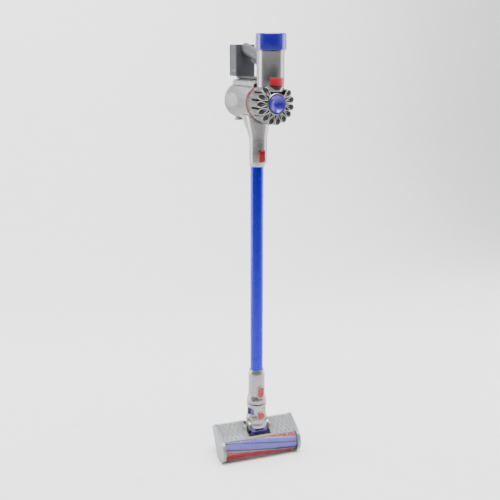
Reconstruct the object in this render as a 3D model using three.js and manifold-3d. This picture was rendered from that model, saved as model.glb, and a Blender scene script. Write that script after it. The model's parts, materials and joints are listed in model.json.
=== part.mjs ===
// Cordless stick vacuum: a handheld unit with cyclones, bin, motor, grip and battery, a wand,
// and a motorised roller head on a swivelling, tilting neck. It is built as it hangs in its wall dock.
// Working frame: the wand runs up +Z through x = 0, y = 0, the front is -Y, the wall is on the +Y side,
// and z = 0 is the head's lowest point. The exported group moves all of it, so that the origin is the
// middle of the battery's back face, where the dock holds it. Millimetres throughout.
import * as THREE from "three";
import { mergeVertices } from "three/addons/utils/BufferGeometryUtils.js";
import Module from "manifold-3d";

const wasm = await Module();
wasm.setup();

// ---- Driving dimensions --------------------------------------------------------------------
const GAP = 0.4; // between pieces that touch
const RUNNING = 0.08; // radial clearance of a shaft in its bore
const ROUND = 28; // sides of a large round piece
const FINE = 20; // sides of a middling round piece
const SMALL = 16; // sides of a small round piece

// How the head hangs: its tilt axis above the lowest point, its turn about the wand and its tilt.
const PIVOT_Z = 88;
const HEAD_TURN = -7.7;
const HEAD_TILT = 57;

// Head, seen along its tilt axis: +y is the rear, z is up when the sole lies flat, 0 is the tilt axis.
const HEAD = {
  width: 248,
  capThickness: 9,
  wall: 2.5,
  rear: 26.6,
  sole: -46.4,
  rearTop: -12.8,
  coverRadius: 36.5,
  borderAngle: 118,
  lipAngle: 50,
  notchRoom: 2,
  bossRadius: 10,
  bossLength: 11,
};
const ROLLER = { y: -52.3, z: -9.9, radius: 32.5, coreRadius: 21.5, coreBore: 19, endGap: 3 };
const SOLE = { thickness: 3, front: -37.5 };
const CHASSIS = { floor: 2.5, wall: 1.6, wallFrom: 139, wallTo: 243, play: 0.2 };
const MOUTH = { halfWidth: 20, back: -5, bottom: -30, top: -4 }; // where dirt leaves the roller's room
const ROLLER_MOTOR = { radius: 16.5, length: 100, armRadius: 8 };
const STUB_RADIUS = 4; // roller's plain end and the tilt pins
const CAP_LOCK = { radius: 9, depth: 4, slot: 2.4 };
const WHEEL = { x: 56, y: 17, radius: 6.5, width: 9, below: 1.6, stub: 1.6 };
const BARREL = { radius: 28.6, wall: 2, halfWidth: 25, front: 149, rear: -40, slotHalfWidth: 13 };

// Neck: the elbow carries the head, the swivel tube turns in the neck shell.
const ELBOW = { step: 3.2, flare: 2.5, bottom: 7, top: 32, earRadius: 9, earInset: 0.5 };
const SWIVEL = { radius: 24.3, bore: 18, length: 38 };
const NECK = { length: 48, rim: 1.2, wall: 3.1, spigotRadius: 22.1, spigot: 36 };
const NECK_WINDOW = { bottom: 11, top: 35.5, halfDepth: 13 };
const NECK_BUTTON = { radius: 11, above: 13.2, proud: 4.1, thickness: 3.6, pad: 3, padRadius: 12.6 };

// Wand
const TUBE = { radius: 18.75, wall: 1.5, shown: 606.6, seat: 14 };
const CABLE = { halfWidth: 3, thickness: 3.4 };
const LOW_COLLAR = { length: 105.4, radius: 24.7, flareRadius: 29.1, flare: 28, socket: 41, bore: 16.5 };
const LOW_BUTTON = { width: 19, height: 33, above: 37.4, front: 28.3, thickness: 3.6, pad: 27, rim: 3 };
const TOP_COLLAR = { length: 38.4, front: 24.7, frontY: -6.4, back: 21.4, taper: 14, bore: 16.5 };
const SPIGOT = { radius: 19.4, length: 24 };
const TOP_BUTTON = { width: 18, height: 33, above: 14, front: 33.1, thickness: 5, floor: 24.9, stem: 3 };

// Handheld unit: heights above the seam where the wand's top collar meets the inlet.
const INLET = { straight: 44.4, flareHalfX: 36, flareHalfY: 44, flareY: 6, rise: 74, collar: 34 };
const BIN = { top: 189.3, radius: 49.3, wall: 2.2, front: -25.7, back: 100, portRadius: 15 };
const FLAP = { thickness: 4.6, earRadius: 4, pin: 2, drop: 7.5 };
const CATCH = { halfWidth: 8, height: 4, depth: 9 };
const CYCLONE = { front: -104, back: -28, coneCount: 15, coneInset: 1.8, coneRadius: 9.4, tipRadius: 5.4 };
const CYCLONE_CORE = { inset: 9.3, bore: 20.5 }; // inset from the bin's wall
const SHROUD = { radius: 31, end: 52, wall: 1.6, skirtRadius: 38, flare: 14, floor: 18 };
const FILTER_CAP = { radius: 23.8, front: -115.4, dish: 8 };
const FILTER_SOCK = { radius: 17.2, tipRadius: 13, tip: 28 };
const COVER = { ringRadius: 29, armPast: 7.5, armHalfWidth: 2.6, front: -112 };
const SEAL = { play: 0.1, width: 6, thickness: 4.4 };
const MOTOR = { y: -76, radius: 36.5, wall: 2.4, bottom: 171.6, top: 278.8, inletRadius: 12 };
const CANISTER = { room: 6.1, wall: 2, bottom: 180, height: 66 };
const ROTOR = { shaft: 2.5, magnet: 9, impellerRoom: 6 };
const POST_CAP = { proud: 4.9, height: 43.2, wall: 2.5, spigot: 9 };
const MEDIA = { room: 3.1, bore: 12, bottom: 270 };
const RIB = { halfWidth: 15, back: -20, bottom: 209, top: 277.4 };
const GRIP = { halfWidth: 15, halfDepth: 16, slope: 0.264, axisAtRib: 258.8, wall: 2.4 };
const TRIGGER = { pivotY: -8, below: 10.2, halfWidth: 5.4, pin: 2, pinHalf: 10 };
const TRIGGER_SLOT = { back: 30, above: 9, below: 16 }; // the lever's tail rises through it
const SPRING = { radius: 2.6, wire: 0.9, y: 14 };
const TAB = { halfAngle: 32, bottom: 189.4, top: 208.2, thickness: 2.6, stemHalf: 4, stem: 8 };
const BOOST = { halfWidth: 5, y: -28.5, halfDepth: 4, height: 3, travel: 4 };
const RAIL = { halfWidth: 10, thickness: 7.6 };
const SADDLE = { halfWidth: 26, below: 8.3, above: 10.9, end: 98 }; // of the bin's top
const BATTERY = { halfWidth: 30, front: 66, back: 108.5, bottom: 207, top: 293.4, wall: 2.2, cover: 2.6 };
const CELL = { radius: 9, length: 65, pitch: 18.5, across: 3, deep: 2 };
const PORT = { radius: 5, wall: 1.6, depth: 9, above: 10 };
const LENS = { y: 84, z: 222, halfLength: 6, halfHeight: 3 };

// ---- Places worked out from those sizes ----------------------------------------------------
const rad = THREE.MathUtils.degToRad;
const neckSeam = PIVOT_Z + ELBOW.top + GAP;
const neckTop = neckSeam + NECK.length;
const collarBottom = neckTop + 2;
const tubeBottom = collarBottom + LOW_COLLAR.length;
const tubeTop = tubeBottom + TUBE.shown;
const seam = tubeTop + TOP_COLLAR.length;
const handheld = seam + GAP;
const dockZ = handheld + (BATTERY.bottom + BATTERY.top) / 2;
const portZ = BATTERY.bottom + PORT.above;
const binCentre = BIN.top - BIN.radius;
const coneRing = BIN.radius - CYCLONE.coneInset;
const coreRadius = BIN.radius - CYCLONE_CORE.inset;
const saddleTop = BIN.top + SADDLE.above;
const canisterRadius = MOTOR.radius - MOTOR.wall - CANISTER.room;
const impellerRadius = canisterRadius - ROTOR.impellerRoom;
const neckWaist = SWIVEL.radius + GAP + NECK.wall;
const neckRim = neckWaist + NECK.rim;
const elbowTop = neckWaist + ELBOW.step;
const skirtRadius = elbowTop + ELBOW.flare;
const bossEnd = skirtRadius + HEAD.bossLength;

// ---- Solids --------------------------------------------------------------------------------
function solid(geometry) {
  const bare = geometry.clone();
  bare.deleteAttribute("normal");
  bare.deleteAttribute("uv");
  const merged = mergeVertices(bare, 1e-4);
  const triVerts = new Uint32Array(merged.index.array);
  const vertProperties = merged.attributes.position.array;
  return new wasm.Manifold(new wasm.Mesh({ numProp: 3, vertProperties, triVerts }));
}

function surface(made) {
  const mesh = made.getMesh();
  const geometry = new THREE.BufferGeometry();
  geometry.setAttribute("position", new THREE.BufferAttribute(mesh.vertProperties, 3));
  geometry.setIndex(new THREE.BufferAttribute(mesh.triVerts, 1));
  return geometry;
}

function join(...geometries) {
  return surface(geometries.map(solid).reduce((a, b) => a.add(b)));
}

function cut(geometry, ...tools) {
  return surface(tools.map(solid).reduce((a, b) => a.subtract(b), solid(geometry)));
}

function common(a, b) {
  return surface(solid(a).intersect(solid(b)));
}

// A profile of [radius, height] points, anticlockwise when radius runs right, turned about +Z.
function turned(profile, sides = ROUND) {
  const points = profile.map(([radius, height]) => new THREE.Vector2(radius, height));
  if (profile[0][0] > 0) points.push(points[0].clone());
  return new THREE.LatheGeometry(points, sides).rotateX(Math.PI / 2);
}

// A plain cylinder or ring standing on +Z from `bottom` to `top`.
function round(radius, bottom, top, sides = FINE, bore = 0) {
  return turned(
    [
      [bore, bottom],
      [radius, bottom],
      [radius, top],
      [bore, top],
    ],
    sides,
  );
}

const alongX = (geometry, y = 0, z = 0) => geometry.rotateY(Math.PI / 2).translate(0, y, z);
const alongY = (geometry, x = 0, z = 0) => geometry.rotateX(-Math.PI / 2).translate(x, 0, z);

function box(x0, x1, y0, y1, z0, z1) {
  const block = new THREE.BoxGeometry(x1 - x0, y1 - y0, z1 - z0);
  return block.translate((x0 + x1) / 2, (y0 + y1) / 2, (z0 + z1) / 2);
}

// A flat outline in x and y, drawn up from `bottom` to `top`.
function raised(shape, bottom, top, curveSegments = 8) {
  const settings = { depth: top - bottom, bevelEnabled: false, curveSegments };
  return new THREE.ExtrudeGeometry(shape, settings).translate(0, 0, bottom);
}

// A side outline, in y and z, drawn along X.
function sideways(shape, x0, x1, curveSegments = 8) {
  const upright = new THREE.Matrix4().set(0, 0, 1, 0, 1, 0, 0, 0, 0, 1, 0, 0, 0, 0, 0, 1);
  return raised(shape, x0, x1, curveSegments).applyMatrix4(upright);
}

// A front outline, in x and z, drawn along Y.
function frontal(shape, y0, y1, curveSegments = 6) {
  return raised(shape, -y1, -y0, curveSegments).rotateX(Math.PI / 2);
}

function outline(points) {
  return new THREE.Shape(points.map(([x, y]) => new THREE.Vector2(x, y)));
}

// The outline that a band round circles [x, y, radius] takes: in each direction the outermost one.
function banded(circles, sides = ROUND) {
  const points = [];
  for (let i = 0; i < sides; i++) {
    const turn = (2 * Math.PI * (i + 0.5)) / sides;
    const reach = ([x, y, r]) => x * Math.cos(turn) + y * Math.sin(turn) + r;
    const [x, y, r] = circles.reduce((a, b) => (reach(b) > reach(a) ? b : a));
    points.push([x + r * Math.cos(turn), y + r * Math.sin(turn)]);
  }
  return points;
}

// A closed skin over equal rings of points [x, y] at rising heights.
function lofted(rings) {
  const sides = rings[0].points.length;
  const positions = [];
  for (const { points, z } of rings) {
    for (const [x, y] of points) positions.push(x, y, z);
  }
  const index = [];
  for (let k = 0; k + 1 < rings.length; k++) {
    for (let i = 0; i < sides; i++) {
      const a = k * sides + i;
      const b = k * sides + ((i + 1) % sides);
      index.push(a, b, b + sides, a, b + sides, a + sides);
    }
  }
  const last = (rings.length - 1) * sides;
  for (let i = 1; i + 1 < sides; i++) {
    index.push(0, i + 1, i);
    index.push(last, last + i, last + i + 1);
  }
  const geometry = new THREE.BufferGeometry();
  geometry.setAttribute("position", new THREE.Float32BufferAttribute(positions, 3));
  geometry.setIndex(index);
  return geometry;
}

// An upright capsule or rounded rectangle about (0, 0).
function capsule(width, height, radius = width / 2) {
  const x = width / 2 - radius;
  const y = height / 2 - radius;
  const corners = [
    [x, y, radius],
    [-x, y, radius],
    [-x, -y, radius],
    [x, -y, radius],
  ];
  return outline(banded(corners, FINE));
}

// ---- Colours and finishes ------------------------------------------------------------------
const finish = (color, roughness, metalness = 0) => ({ color, roughness, metalness });
const NICKEL = finish(0x9c9ca0, 0.35, 0.5);
const GREY = finish(0xa9a9ab, 0.45, 0.1);
const CHARCOAL = finish(0x2c2c30, 0.55);
const BLUE = finish(0x2b3cc8, 0.3, 0.3);
const VIOLET = finish(0x4646b8, 0.35);
const RED = finish(0xc03040, 0.4);
const CLEAR = finish(0xd8dade, 0.1);
const RUBBER = finish(0x1c1c1e, 0.8);
const STEEL = finish(0xb8babd, 0.3, 1);
const COPPER = finish(0xb87440, 0.4, 0.8);
const BOARD = finish(0x1f5a3a, 0.6);
const FELT = finish(0xf0f0ee, 0.95);
const PILE = finish(0x7a3060, 0.95);

function add(group, name, geometry, look) {
  const mesh = new THREE.Mesh(geometry, new THREE.MeshStandardMaterial(look));
  mesh.name = name;
  group.add(mesh);
  return mesh;
}

// ---- Head: everything in the head's own frame ----------------------------------------------
const headInner = HEAD.width / 2 - HEAD.capThickness;
const rollerEnd = headInner - ROLLER.endGap;

// A point at `angle` degrees over the roller, from straight ahead up and back.
function overRoller(angle, radius) {
  return [
    ROLLER.y - radius * Math.cos(rad(angle)),
    ROLLER.z + radius * Math.sin(rad(angle)),
  ];
}

// A curved wall about the roller between two such angles.
function rollerWall(from, to, inner, outer, sides = 10) {
  const points = [];
  for (let i = 0; i <= sides; i++) {
    points.push(overRoller(from + ((to - from) * i) / sides, outer));
  }
  for (let i = sides; i >= 0; i--) {
    points.push(overRoller(from + ((to - from) * i) / sides, inner));
  }
  return outline(points.reverse());
}

// What the neck sweeps through as the head tilts.
function neckRoom() {
  const half = skirtRadius + HEAD.notchRoom;
  const reach = Math.hypot(skirtRadius, ELBOW.bottom) + 1;
  return join(
    alongX(round(reach, -half, half, ROUND)),
    box(-half, half, 0, 2 * HEAD.rear, -reach, reach),
  );
}

function bossRoom(radius) {
  const inner = skirtRadius;
  const outer = bossEnd + GAP;
  return [-1, 1].map((side) => {
    const [x0, x1] = [side * inner, side * outer].sort((a, b) => a - b);
    return alongX(round(radius, x0, x1, FINE));
  });
}

function headCover() {
  const [borderY, borderZ] = overRoller(HEAD.borderAngle, HEAD.coverRadius);
  const inner = HEAD.coverRadius - HEAD.wall;
  const [underY, underZ] = overRoller(HEAD.borderAngle, inner);
  const soleTop = HEAD.sole + SOLE.thickness + GAP;
  const shell = outline([
    [HEAD.rear, soleTop],
    [HEAD.rear, HEAD.rearTop],
    [borderY, borderZ],
    [underY, underZ],
    [HEAD.rear - HEAD.wall, HEAD.rearTop - HEAD.wall],
    [HEAD.rear - HEAD.wall, soleTop],
  ]);
  const length = headInner - GAP;
  return cut(sideways(shell, -length, length), neckRoom(), ...bossRoom(HEAD.bossRadius + GAP));
}

function rollerWindow() {
  const inner = HEAD.coverRadius - HEAD.wall;
  const pane = rollerWall(HEAD.lipAngle, HEAD.borderAngle - 0.8, inner, HEAD.coverRadius);
  return sideways(pane, -headInner + GAP, headInner - GAP);
}

// Floor, the wall behind the roller with its mouth, and the bosses that carry the tilt pins.
function headChassis() {
  const length = headInner - GAP;
  const floorTop = HEAD.sole + SOLE.thickness + GAP + CHASSIS.floor;
  const floorBottom = floorTop - CHASSIS.floor;
  const back = HEAD.rear - HEAD.wall - GAP;
  const inner = HEAD.coverRadius - HEAD.wall;
  const room = inner + CHASSIS.play;
  const wall = rollerWall(CHASSIS.wallFrom, CHASSIS.wallTo, room, room + CHASSIS.wall);
  const pieces = [
    sideways(wall, -length, length),
    box(-length, length, SOLE.front, back, floorBottom, floorTop),
  ];
  for (const side of [-1, 1]) {
    const [x0, x1] = [side * (skirtRadius + GAP), side * bossEnd].sort((a, b) => a - b);
    const webHalf = HEAD.bossRadius - 2;
    pieces.push(alongX(round(HEAD.bossRadius, x0, x1)));
    pieces.push(box(x0, x1, -webHalf, webHalf, floorBottom, 0));
    const [p0, p1] = [side * (BARREL.halfWidth + 3 * GAP), side * (bossEnd - 1)].sort(
      (a, b) => a - b,
    );
    pieces.push(alongX(round(STUB_RADIUS, p0, p1, SMALL)));
  }
  const wells = [-1, 1].map((side) => wheelRoom(side));
  return cut(
    join(...pieces),
    box(-MOUTH.halfWidth, MOUTH.halfWidth, ROLLER.y, MOUTH.back, MOUTH.bottom, MOUTH.top),
    alongX(round(room - CHASSIS.play / 2, -length - 1, length + 1, ROUND), ROLLER.y, ROLLER.z),
    ...wells,
  );
}

function wheelRoom(side) {
  const half = WHEEL.width / 2 + 1;
  const reach = WHEEL.radius + 1;
  return box(
    side * WHEEL.x - half,
    side * WHEEL.x + half,
    WHEEL.y - reach,
    WHEEL.y + reach,
    HEAD.sole - 1,
    HEAD.sole + SOLE.thickness + CHASSIS.floor + 1,
  );
}

const wheelZ = HEAD.sole - WHEEL.below + WHEEL.radius;

function solePlate() {
  const top = HEAD.sole + SOLE.thickness;
  const length = headInner - GAP;
  const plate = box(-length, length, SOLE.front, HEAD.rear, HEAD.sole, top);
  return cut(plate, wheelRoom(-1), wheelRoom(1));
}

function rearWheel(side) {
  const half = WHEEL.width / 2;
  const tyre = alongX(round(WHEEL.radius, -half, half, FINE), WHEEL.y, wheelZ);
  const stub = alongX(round(WHEEL.stub, -half - 0.7, half + 0.7, SMALL), WHEEL.y, wheelZ);
  return join(tyre, stub).translate(side * WHEEL.x, 0, 0);
}

function endCap(side) {
  const corner = 3;
  const plate = outline(
    banded(
      [
        [ROLLER.y, ROLLER.z, HEAD.coverRadius],
        [HEAD.rear - corner, HEAD.rearTop - corner, corner],
        [HEAD.rear - corner, HEAD.sole + corner, corner],
      ],
      40,
    ),
  );
  const outer = HEAD.width / 2;
  const [x0, x1] = [side * headInner, side * outer].sort((a, b) => a - b);
  const cap = sideways(plate, x0, x1);
  if (side < 0) {
    const bearing = round(STUB_RADIUS + RUNNING, -headInner - 5, -headInner + 1, SMALL);
    return cut(cap, alongX(bearing, ROLLER.y, ROLLER.z));
  }
  const pocket = round(CAP_LOCK.radius + GAP, outer - CAP_LOCK.depth - GAP, outer + 1);
  return cut(cap, alongX(pocket, ROLLER.y, ROLLER.z));
}

function capLock() {
  const outer = HEAD.width / 2;
  const disc = alongX(round(CAP_LOCK.radius, outer - CAP_LOCK.depth, outer), ROLLER.y, ROLLER.z);
  const half = CAP_LOCK.slot / 2;
  const reach = CAP_LOCK.radius - 1.5;
  const { y, z } = ROLLER;
  return cut(disc, box(outer - 2, outer + 1, y - reach, y + reach, z - half, z + half));
}

function ductBarrel() {
  const points = [];
  const steps = 16;
  for (const radius of [BARREL.radius, BARREL.radius - BARREL.wall]) {
    const arc = [];
    for (let i = 0; i <= steps; i++) {
      const turn = rad(BARREL.rear + ((BARREL.front - BARREL.rear) * i) / steps);
      arc.push([radius * Math.cos(turn), radius * Math.sin(turn)]);
    }
    points.push(...(radius === BARREL.radius ? arc : arc.reverse()));
  }
  const slot = BARREL.slotHalfWidth;
  const reach = BARREL.radius;
  const drum = sideways(outline(points), -BARREL.halfWidth, BARREL.halfWidth);
  return cut(drum, box(-slot, slot, -reach * 0.55, reach + 1, -4, reach + 1));
}

function rollerCore() {
  const plug = 6;
  const length = rollerEnd - 2;
  const tube = round(ROLLER.coreRadius, -length, length, FINE, ROLLER.coreBore);
  const end = round(ROLLER.coreBore + 1, -length, -length + plug, FINE);
  const stub = round(STUB_RADIUS, -headInner - 4, -length + 1, SMALL);
  return alongX(join(tube, end, stub), ROLLER.y, ROLLER.z);
}

function rollerPile() {
  const bore = ROLLER.coreRadius + 0.3;
  return alongX(round(ROLLER.radius, -rollerEnd, rollerEnd, ROUND, bore), ROLLER.y, ROLLER.z);
}

function rollerMotor() {
  const end = rollerEnd - 8;
  const can = round(ROLLER_MOTOR.radius, end - ROLLER_MOTOR.length, end);
  const arm = round(ROLLER_MOTOR.armRadius, end - 1, headInner - GAP, SMALL);
  return alongX(join(can, arm), ROLLER.y, ROLLER.z);
}

// ---- Neck ----------------------------------------------------------------------------------
// The elbow stands on the tilt pins, round the duct barrel. Heights here are from the tilt axis.
function elbowShell() {
  const { bottom, top, earRadius, earInset } = ELBOW;
  const earEnd = skirtRadius - earInset;
  const room = BARREL.halfWidth + 2 * GAP;
  const body = turned([
    [0, bottom],
    [skirtRadius, bottom],
    [skirtRadius, bottom + 4],
    [elbowTop, top - 6],
    [elbowTop, top],
    [0, top],
  ]);
  const pieces = [body];
  for (const side of [-1, 1]) {
    const [x0, x1] = [side * room, side * earEnd].sort((a, b) => a - b);
    pieces.push(alongX(round(earRadius, x0, x1)));
    pieces.push(box(x0, x1, -earRadius, earRadius, 0, bottom + 1));
  }
  return cut(
    join(...pieces),
    alongX(round(BARREL.radius + GAP, -room, room, ROUND)),
    alongX(round(STUB_RADIUS + RUNNING, -earEnd - 1, earEnd + 1, SMALL)),
    round(SWIVEL.bore, 0, top + 1),
  );
}

function swivelTube() {
  const foot = ELBOW.top + GAP;
  return round(SWIVEL.radius, foot, foot + SWIVEL.length, ROUND, SWIVEL.bore);
}

function neckShell() {
  const bore = SWIVEL.radius + GAP;
  const tubeEnd = neckSeam + SWIVEL.length + GAP;
  const bevel = 1.5;
  const body = turned([
    [bore, neckSeam],
    [elbowTop, neckSeam],
    [elbowTop - 1, neckSeam + 6],
    [neckWaist, neckSeam + 18],
    [neckWaist, neckTop - 14],
    [neckRim, neckTop - 10],
    [neckRim, neckTop - bevel],
    [neckRim - bevel, neckTop],
    [NECK.spigotRadius, neckTop],
    [NECK.spigotRadius, neckTop + NECK.spigot],
    [LOW_COLLAR.bore, neckTop + NECK.spigot],
    [LOW_COLLAR.bore, tubeEnd],
    [bore, tubeEnd],
  ]);
  const button = NECK_BUTTON;
  const buttonZ = neckSeam + button.above;
  const pad = alongY(round(button.padRadius, -neckWaist - button.pad, -bore - 1.5), 0, buttonZ);
  const { bottom, top, halfDepth } = NECK_WINDOW;
  const windows = [-1, 1].map((side) => {
    const [x0, x1] = [side * 15, side * 40].sort((a, b) => a - b);
    const [y0, y1] = side < 0 ? [-halfDepth, halfDepth] : [-2, halfDepth];
    return box(x0, x1, y0, y1, neckSeam + bottom, neckSeam + top);
  });
  return cut(
    join(body, pad),
    alongY(round(button.radius + GAP, -neckWaist - button.proud - 2, -bore + 2), 0, buttonZ),
    ...windows,
  );
}

function neckButton() {
  const { radius, proud, thickness, above } = NECK_BUTTON;
  const front = neckWaist + proud;
  return alongY(round(radius, -front, -front + thickness), 0, neckSeam + above);
}

// ---- Wand ----------------------------------------------------------------------------------
const lowButtonZ = collarBottom + LOW_BUTTON.above;
const topButtonZ = tubeTop + TOP_BUTTON.above + TOP_BUTTON.height / 2;
const cableTop = tubeTop + TUBE.seat;

function wandTube() {
  const bottom = tubeBottom - TUBE.seat;
  return round(TUBE.radius, bottom, tubeTop + TUBE.seat - 2, ROUND, TUBE.radius - TUBE.wall);
}

function wandCable() {
  const outer = TUBE.radius - TUBE.wall - 1;
  const { halfWidth, thickness } = CABLE;
  const bottom = tubeBottom - TUBE.seat;
  return box(-halfWidth, halfWidth, outer - thickness, outer - 0.4, bottom, cableTop - 2);
}

function lowCollar() {
  const { radius, flareRadius, flare, socket, bore } = LOW_COLLAR;
  const seat = TUBE.radius + GAP;
  const ledge = tubeBottom - TUBE.seat - GAP;
  const socketRadius = NECK.spigotRadius + GAP;
  const body = turned([
    [seat, tubeBottom],
    [seat, ledge],
    [bore, ledge],
    [bore, collarBottom + socket],
    [socketRadius, collarBottom + socket],
    [socketRadius, collarBottom],
    [flareRadius, collarBottom],
    [flareRadius, collarBottom + 7],
    [radius, collarBottom + flare],
    [radius, tubeBottom - 14],
    [seat + 1.6, tubeBottom],
  ]);
  const { width, height, pad, rim } = LOW_BUTTON;
  const raisedPad = frontal(capsule(width + 2 * rim, height + 2 * rim), -pad, -socketRadius - 0.5);
  const hole = frontal(capsule(width + 2 * GAP, height + 2 * GAP), -40, -socketRadius + 4);
  return cut(
    join(body, raisedPad.translate(0, 0, lowButtonZ)),
    hole.translate(0, 0, lowButtonZ),
  );
}

function lowButton() {
  const { width, height, front, thickness } = LOW_BUTTON;
  return frontal(capsule(width, height), -front, -front + thickness).translate(0, 0, lowButtonZ);
}

// The collars at the top are wider in front, where the latch is.
function eggRing(front, back, frontY = TOP_COLLAR.frontY) {
  return banded([
    [0, frontY, front],
    [0, 0, back],
  ]);
}

function topCollar() {
  const { front, back, taper, bore } = TOP_COLLAR;
  const seat = TUBE.radius + GAP;
  const ledge = tubeTop + TUBE.seat - 2 + GAP;
  const body = lofted([
    { points: eggRing(seat + 1.6, seat + 1.6, 0), z: tubeTop },
    { points: eggRing(front, back), z: tubeTop + taper },
    { points: eggRing(front, back), z: seam },
  ]);
  return cut(
    join(body, round(SPIGOT.radius, seam - 1, seam + SPIGOT.length, ROUND)),
    round(seat, tubeTop - 1, ledge, ROUND),
    round(bore, ledge - 1, seam + SPIGOT.length + 1, FINE),
    topButtonRoom(GAP),
    buttonStem(TOP_BUTTON.stem + GAP, -TOP_BUTTON.floor - 1, -SPIGOT.radius - 1),
  );
}

// The recess for the latch button runs over the seam into the inlet.
function topButtonRoom(clearance) {
  const { width, height, floor } = TOP_BUTTON;
  const recess = capsule(width + 2 * clearance, height + 2 * clearance, 4);
  return frontal(recess, -45, -floor).translate(0, 0, topButtonZ);
}

const buttonStem = (radius, y0, y1) => alongY(round(radius, y0, y1, SMALL), 0, seam - 10);

function topButton() {
  const { width, height, front, thickness, stem } = TOP_BUTTON;
  const plate = frontal(capsule(width, height, 3.6), -front, -front + thickness);
  const back = -front + thickness;
  return join(plate.translate(0, 0, topButtonZ), buttonStem(stem, back - 1, back + 4));
}

// ---- Handheld unit: heights from its seam with the wand ------------------------------------
const motorAt = (geometry) => geometry.translate(0, MOTOR.y, 0);

function motorOutside(grow = 0) {
  return motorAt(round(MOTOR.radius + grow, MOTOR.bottom - grow, MOTOR.top + grow, ROUND));
}

function inletFunnel() {
  const { front, back } = TOP_COLLAR;
  const { straight, flareHalfX, flareHalfY, flareY, rise, collar } = INLET;
  const wide = banded([
    [0, flareY - flareHalfY + flareHalfX, flareHalfX],
    [0, flareY + flareHalfY - flareHalfX, flareHalfX],
  ]);
  const narrower = ([x, y]) => [x * 0.78, flareY + (y - flareY) * 0.78];
  const body = lofted([
    { points: eggRing(front, back), z: 0 },
    { points: eggRing(front, back), z: straight },
    { points: wide.map(narrower), z: (straight + rise) / 2 + 6 },
    { points: wide, z: rise },
    { points: wide, z: rise + collar },
  ]);
  const socket = SPIGOT.radius + GAP;
  return cut(
    body,
    round(socket, -1, SPIGOT.length + GAP + 1, ROUND),
    round(BIN.portRadius, SPIGOT.length - 2, rise + collar + 6, FINE),
    alongY(round(BIN.radius + 2 * GAP, BIN.front - 6, 120, ROUND), 0, binCentre),
    alongY(round(coneReach + GAP, CYCLONE.front - 20, CYCLONE.back + 0.6, ROUND), 0, binCentre),
    topButtonRoom(3 * GAP).translate(0, 0, -handheld),
  );
}

const coneReach = coneRing + CYCLONE.coneRadius;

// Where the cones stand round the bin's axis. The motor housing takes the room of those at the top.
const coneTurns = Array.from(
  { length: CYCLONE.coneCount },
  (_, i) => (2 * Math.PI * (i + 0.5)) / CYCLONE.coneCount,
).filter((turn) => {
  const lowest = -coneRing * Math.sin(turn) - CYCLONE.coneRadius;
  return lowest < MOTOR.bottom - binCentre;
});

function cycloneBody() {
  const { front, back, coneRadius, tipRadius } = CYCLONE;
  const coneFront = front - 2;
  const pieces = [
    round(coreRadius, front + 6, back - 3, ROUND),
    round(coneReach - 12, back - 6, back, ROUND),
  ];
  for (const turn of coneTurns) {
    const cone = turned(
      [
        [0, coneFront],
        [coneRadius, coneFront],
        [coneRadius, front + 30],
        [tipRadius, back - 2],
        [0, back - 2],
      ],
      8,
    );
    cone.translate(coneRing * Math.cos(turn), coneRing * Math.sin(turn), 0);
    pieces.push(cone);
  }
  return cut(
    alongY(join(...pieces), 0, binCentre),
    alongY(round(CYCLONE_CORE.bore, front - 20, back + 1, FINE), 0, binCentre),
    motorOutside(GAP),
    box(-60, 60, -200, 0, MOTOR.bottom + 30, MOTOR.top),
  );
}

// The front spider: a ring round the filter cap with one arm to each cone.
function cycloneCover() {
  const { ringRadius, armPast, armHalfWidth, front } = COVER;
  const back = CYCLONE.front - 2 - GAP;
  const pieces = [round(ringRadius, front, back, FINE)];
  for (const turn of coneTurns) {
    const arm = box(ringRadius - 3, coneRing + armPast, -armHalfWidth, armHalfWidth, front + 1, back);
    pieces.push(arm.rotateZ(turn));
  }
  return cut(
    alongY(join(...pieces), 0, binCentre),
    alongY(round(FILTER_CAP.radius + GAP, front - 5, back + 5, FINE), 0, binCentre),
    motorOutside(GAP),
  );
}

// The shroud hangs from the cyclones as a cup with a flared skirt. The filter's end sits inside it.
function vortexShroud() {
  const { radius, end, wall, skirtRadius, flare, floor } = SHROUD;
  const start = CYCLONE.back + GAP;
  const inside = radius - wall;
  const profile = [
    [inside, start],
    [radius, start],
    [radius, end - flare],
    [skirtRadius, end],
    [skirtRadius - wall, end],
    [inside, end - flare + wall],
  ];
  const base = round(radius - wall / 2, end - floor, end - floor + wall, FINE);
  return alongY(join(turned(profile, FINE), base), 0, binCentre);
}

function binSeal() {
  const back = BIN.front - GAP;
  const outer = BIN.radius - BIN.wall - SEAL.play;
  const bore = outer - SEAL.width;
  const ring = round(outer, CYCLONE.back + GAP, back + SEAL.thickness, ROUND, bore);
  return alongY(ring, 0, binCentre);
}

function binBarrel() {
  const { radius, wall, front, back, portRadius } = BIN;
  const tube = alongY(round(radius, front, back, ROUND, radius - wall), 0, binCentre);
  const ears = [-1, 1].map((side) => {
    const [x0, x1] = [side * 9, side * 16].sort((a, b) => a - b);
    const ear = alongX(round(FLAP.earRadius, x0, x1, SMALL), flapPinY, flapPinZ);
    const arm = box(x0, x1, back - 14, flapPinY, flapPinZ - 2, flapPinZ + FLAP.earRadius - 0.6);
    return join(ear, arm, box(x0, x1, back - 14, back, flapPinZ, flapPinZ + FLAP.drop));
  });
  const pin = alongX(round(FLAP.pin, -15, 15, SMALL), flapPinY, flapPinZ);
  const port = round(portRadius + 1, binCentre - radius - 5, binCentre - radius + 9, FINE);
  return cut(join(tube, ...ears, pin), port);
}

const flapPinY = BIN.back + FLAP.thickness / 2;
const flapPinZ = binCentre - BIN.radius - FLAP.earRadius - 0.6;

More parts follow.
